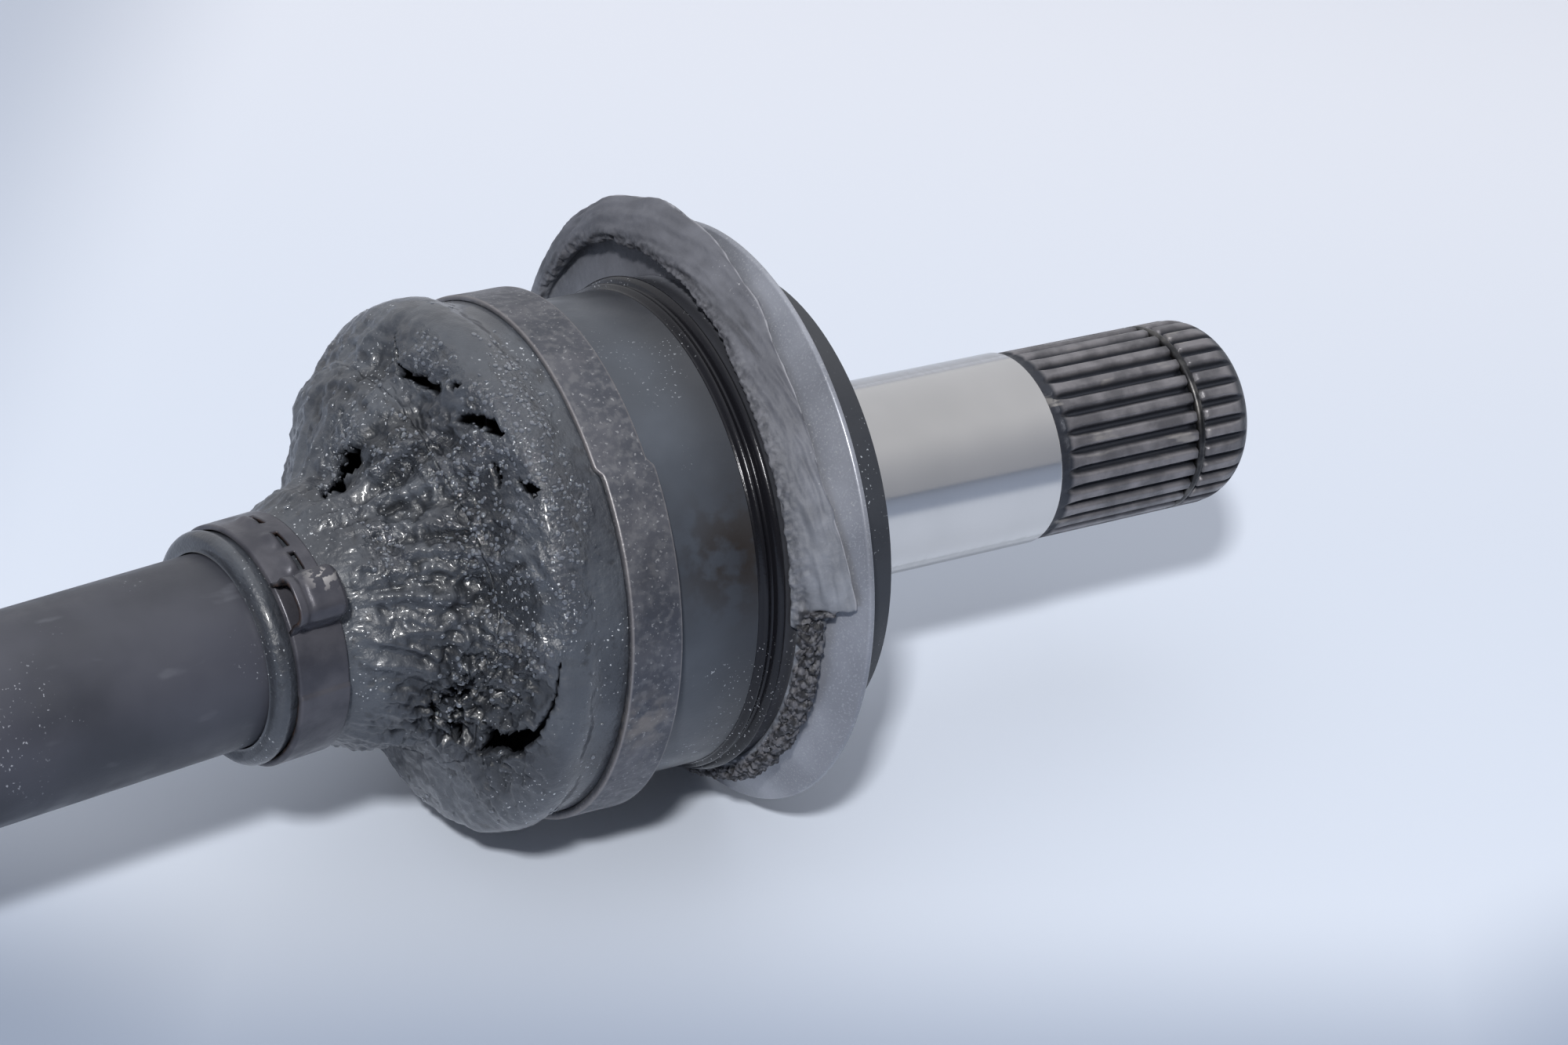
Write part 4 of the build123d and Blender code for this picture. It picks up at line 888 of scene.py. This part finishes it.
# Small boot clamps: a narrow band hooked on itself and drawn tight by pinching its ear with pliers. Three hook
# windows follow the ear. The ear is hollow, rusty inside, and chipped where the pliers bit.
SMALL_FROM = 59.5
SMALL_WIDTH = 10.0
SMALL_R = 20.6
EAR_TURN = 47.0
EAR_TALL = 7.0
EAR_HALF = 4.9
WINDOWS = [(62.9, 103, 0.6, 2.3), (62.9, 82, 0.6, 2.0), (62.9, 67, 0.6, 2.0)]
ear_finish, tree, shader = new_finish("clamp_ear", (0.06, 0.06, 0.07), 0.36, 0.35)
haze = clouds(tree, 150, 4, 0.35, 0.7)
colour = tint(tree, haze, (0.056, 0.056, 0.068), (0.096, 0.094, 0.108))
rust = clouds(tree, 700, 4, 0.4, 0.6)
rust = tint(tree, rust, (0.020, 0.014, 0.011), (0.095, 0.048, 0.028))
chips = clouds(tree, 520, 3, 0.50, 0.56)
chipped = combine(tree, near(tree, (-0.1358, -0.0250, 0.0216), 0.0042), chips)
colour = tint(tree, chipped, colour, (0.42, 0.40, 0.39))
colour = tint(tree, marked(tree, "outer"), rust, colour)
painted(tree, shader, colour)
uneven_gloss(tree, shader, 240, 0.30, 0.46)
relief(tree, shader, (mottle(tree, 900, 4), 0.00006))


def ear_clamp(name, place, body, node):
    """A band with windows, and its hollow ear as a second piece joined to it."""
    count = 400
    degrees = np.arange(count) * 360.0 / count - 180.0
    across = np.concatenate([[0, 0.03, 0.12, 0.3], np.linspace(0.6, 9.4, 26), [9.7, 9.88, 9.97, SMALL_WIDTH]])
    s = SMALL_FROM + across[:, None] + np.zeros(count)
    turns = degrees[None, :] + np.zeros_like(s)
    rise = 0.8 * np.clip(np.minimum(across, SMALL_WIDTH - across)[:, None] / 0.3, 0, 1) ** 0.5 + np.zeros_like(s)
    kept = np.ones((len(across) - 1, count), bool)
    for at_s, at_turn, half_s, half_width in WINDOWS:
        off = ((turns - at_turn + 180) % 360 - 180) * np.radians(1) * SMALL_R
        rise += 0.9 * np.exp(-((s - at_s - 1.7) / 1.1) ** 2 - (off / half_width) ** 4)
        kept &= ~((np.abs(s[:-1] + 0.17 - at_s) < half_s) & (np.abs(off[:-1]) < half_width))
    lap = 1.0 / (1.0 + np.exp((degrees[None, :] - 4.0) / 0.3)) * (degrees[None, :] > -150)
    rise += 0.45 * lap
    top, under = place(s, SMALL_R + rise, turns), place(s, SMALL_R - 0.02, turns)
    piece = walled_piece(name, top[::-1], under[::-1], ear_finish, {"outer": np.ones_like(s)},
                         kept[::-1])
    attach(piece, body)
    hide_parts(node)
    shells = [[], []]
    for reach in np.linspace(-0.4, 10.2, 46):
        closed = min((reach + 0.4) / 2.6, 1.0)
        swell = 1.0 - 0.05 * math.exp(-((reach - 8.0) / 0.7) ** 2) + 0.02 * math.sin(reach * 0.6)
        for shell, thin in zip(shells, (0.0, 0.8)):
            angle = np.linspace(-1, 1, 61) * math.pi / 2
            high = EAR_TALL * swell * math.sqrt(max(1 - (1 - closed) ** 2.4, 0)) + 0.05 - thin
            wide = EAR_HALF * swell - 0.9 * (1 - closed) ** 2 - thin
            y = np.sign(angle) * np.abs(np.sin(angle)) ** 0.60 * wide
            z = np.cos(angle) ** 0.60 * max(high, 0.02)
            y = y * (1 - 0.12 * np.exp(-((z / EAR_TALL - 0.35) / 0.2) ** 2))
            lift = SMALL_R + 0.3 + z
            shell.append(place(SMALL_FROM + reach, np.hypot(y, lift), EAR_TURN + np.degrees(np.arctan2(y, lift))))
    skin, lining = (np.array(shell)[::-1] for shell in shells)
    ear = walled_piece(name + "_ear", skin, lining, ear_finish,
                       {"outer": np.ones((len(skin), 61))}, closed=False)
    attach(ear, body)


ear_clamp("inner_small_clamp", on_bar, "shaft", "inner_boot_small_clamp")

# Outer joint: a bell forged in one piece with the hub stem, ground inside for six balls in a cage. The bell is
# left dark from hardening, its stem is toothed for the hub and threaded for the nut.
bell_finish, tree, shader = new_finish("bell_steel", (0.10, 0.10, 0.105), 0.42, 0.7)
forged = clouds(tree, 70, 5, 0.35, 0.68)
colour = tint(tree, forged, (0.060, 0.060, 0.066), (0.135, 0.132, 0.132))
rust = clouds(tree, 180, 5, 0.60, 0.74)
colour = tint(tree, rust, colour, (0.13, 0.085, 0.06))
stem = between(tree, along(tree, "X"), -0.588, -0.583, 1.0, 0.0)
colour = tint(tree, combine(tree, stem, 0.8), colour, (0.33, 0.325, 0.32))
painted(tree, shader, colour)
uneven_gloss(tree, shader, 200, 0.34, 0.56)
relief(tree, shader, (mottle(tree, 900, 5), 0.00010))
give(bell_finish, "outer_joint_bell")
cage_finish, tree, shader = new_finish("cage_steel", (0.22, 0.21, 0.20), 0.32, 1.0)
aged = clouds(tree, 200, 4, 0.4, 0.7)
painted(tree, shader, tint(tree, aged, (0.24, 0.23, 0.22), (0.10, 0.095, 0.09)))
relief(tree, shader, (mottle(tree, 1500, 3), 0.00003))
give(cage_finish, "ball_cage")

# Outer boot: the same moulded rubber, still whole, with four folds that shrink towards the bar and dust in them.
CENTRES = 470.0
OUTER_SEAM = 33.2
OUTER_WALL = 2.5
OUTER_PROFILE = [
    (73.2, 18.4), (73.2, 20.3), (72, 21.2), (70.4, 20.6), (69.6, 20.3), (59.4, 20.3), (58, 21.0), (54.0, 23.0),
    (52.6, 27.0), (50.5, 28.2), (48.6, 26.8), (47.0, 24.6), (45.4, 25.2), (43.0, 31.0), (40.8, 32.8), (38.6, 31.4),
    (37.2, 28.8), (35.6, 29.4), (33.0, 35.4), (30.8, 37.4), (28.6, 36.0), (27.2, 33.2), (25.6, 34.0), (23.2, 40.0),
    (21.0, 42.0), (19.0, 41.6), (17.4, 42.0), (16.0, 46.6), (15.0, 47.2), (12, 47.2), (2.0, 47.2),
]


def on_outer(s, radius, degrees):
    """Points round the bar at the outer joint: s from that joint's centre towards the inner one."""
    return on_joint(CENTRES - s, radius, degrees, 1.0)


rubber_finish, tree, shader = new_finish("outer_boot_rubber", (0.04, 0.042, 0.047), 0.5, 0.0, Specular_IOR_Level=0.4)
dust = clouds(tree, 80, 5, 0.35, 0.7)
painted(tree, shader, tint(tree, dust, (0.030, 0.032, 0.036), (0.080, 0.084, 0.092)))
relief(tree, shader, (mottle(tree, 700, 5), 0.00020))
skin_s, skin_r, _ = arc_rows([(a, b, 0.0) for a, b in OUTER_PROFILE], 0.7)
columns = 300
degrees = np.arange(columns) * 360.0 / columns
s = skin_s[:, None] + np.zeros(columns)
turns = degrees[None, :] + np.zeros_like(s)
radius = skin_r[:, None] + np.zeros_like(s)
slack = np.clip((s - 16) / 3, 0, 1) * np.clip((57 - s) / 3, 0, 1)
radius = radius + slack * 0.35 * bumpy(on_outer(s, radius, turns) / MM, 14.0, 31.0, 2)
inner = np.where(s > 50, np.maximum(radius - OUTER_WALL, 17.62), radius - OUTER_WALL)
inner = np.where(s < 15.2, CAN_SEAT_R, np.where(s > 57.5, 17.6, inner))
outside, inside = on_outer(s, radius, turns), on_outer(s, inner, turns)
seam = int(np.argmin(np.abs(skin_s - OUTER_SEAM)))
for name, part, bodies, (start, end) in (
        ("outer_boot_large_end", slice(seam, None), ("outer_housing", "outer_cage"), (15.5, 32.5)),
        ("outer_boot_small_end", slice(0, seam + 1), ("outer_cage", "shaft"), (34.0, 54.0))):
    piece = walled_piece(name, outside[part], inside[part], rubber_finish)
    [tuple(on_outer(reach, 0.0, 0.0).tolist()) for reach in (start, end)]
    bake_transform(piece)
    if part.start == seam:
        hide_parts("outer_boot")


def on_bell(x, radius, degrees):
    """Points round the outer joint's axis, x measured as on the can."""
    return on_outer(-x - BAND_SHIFT, radius, degrees)


lapped_band("outer_band", on_bell, "outer_housing", "outer_boot_large_clamp")
ear_clamp("outer_small_clamp", on_outer, "shaft", "outer_boot_small_clamp")
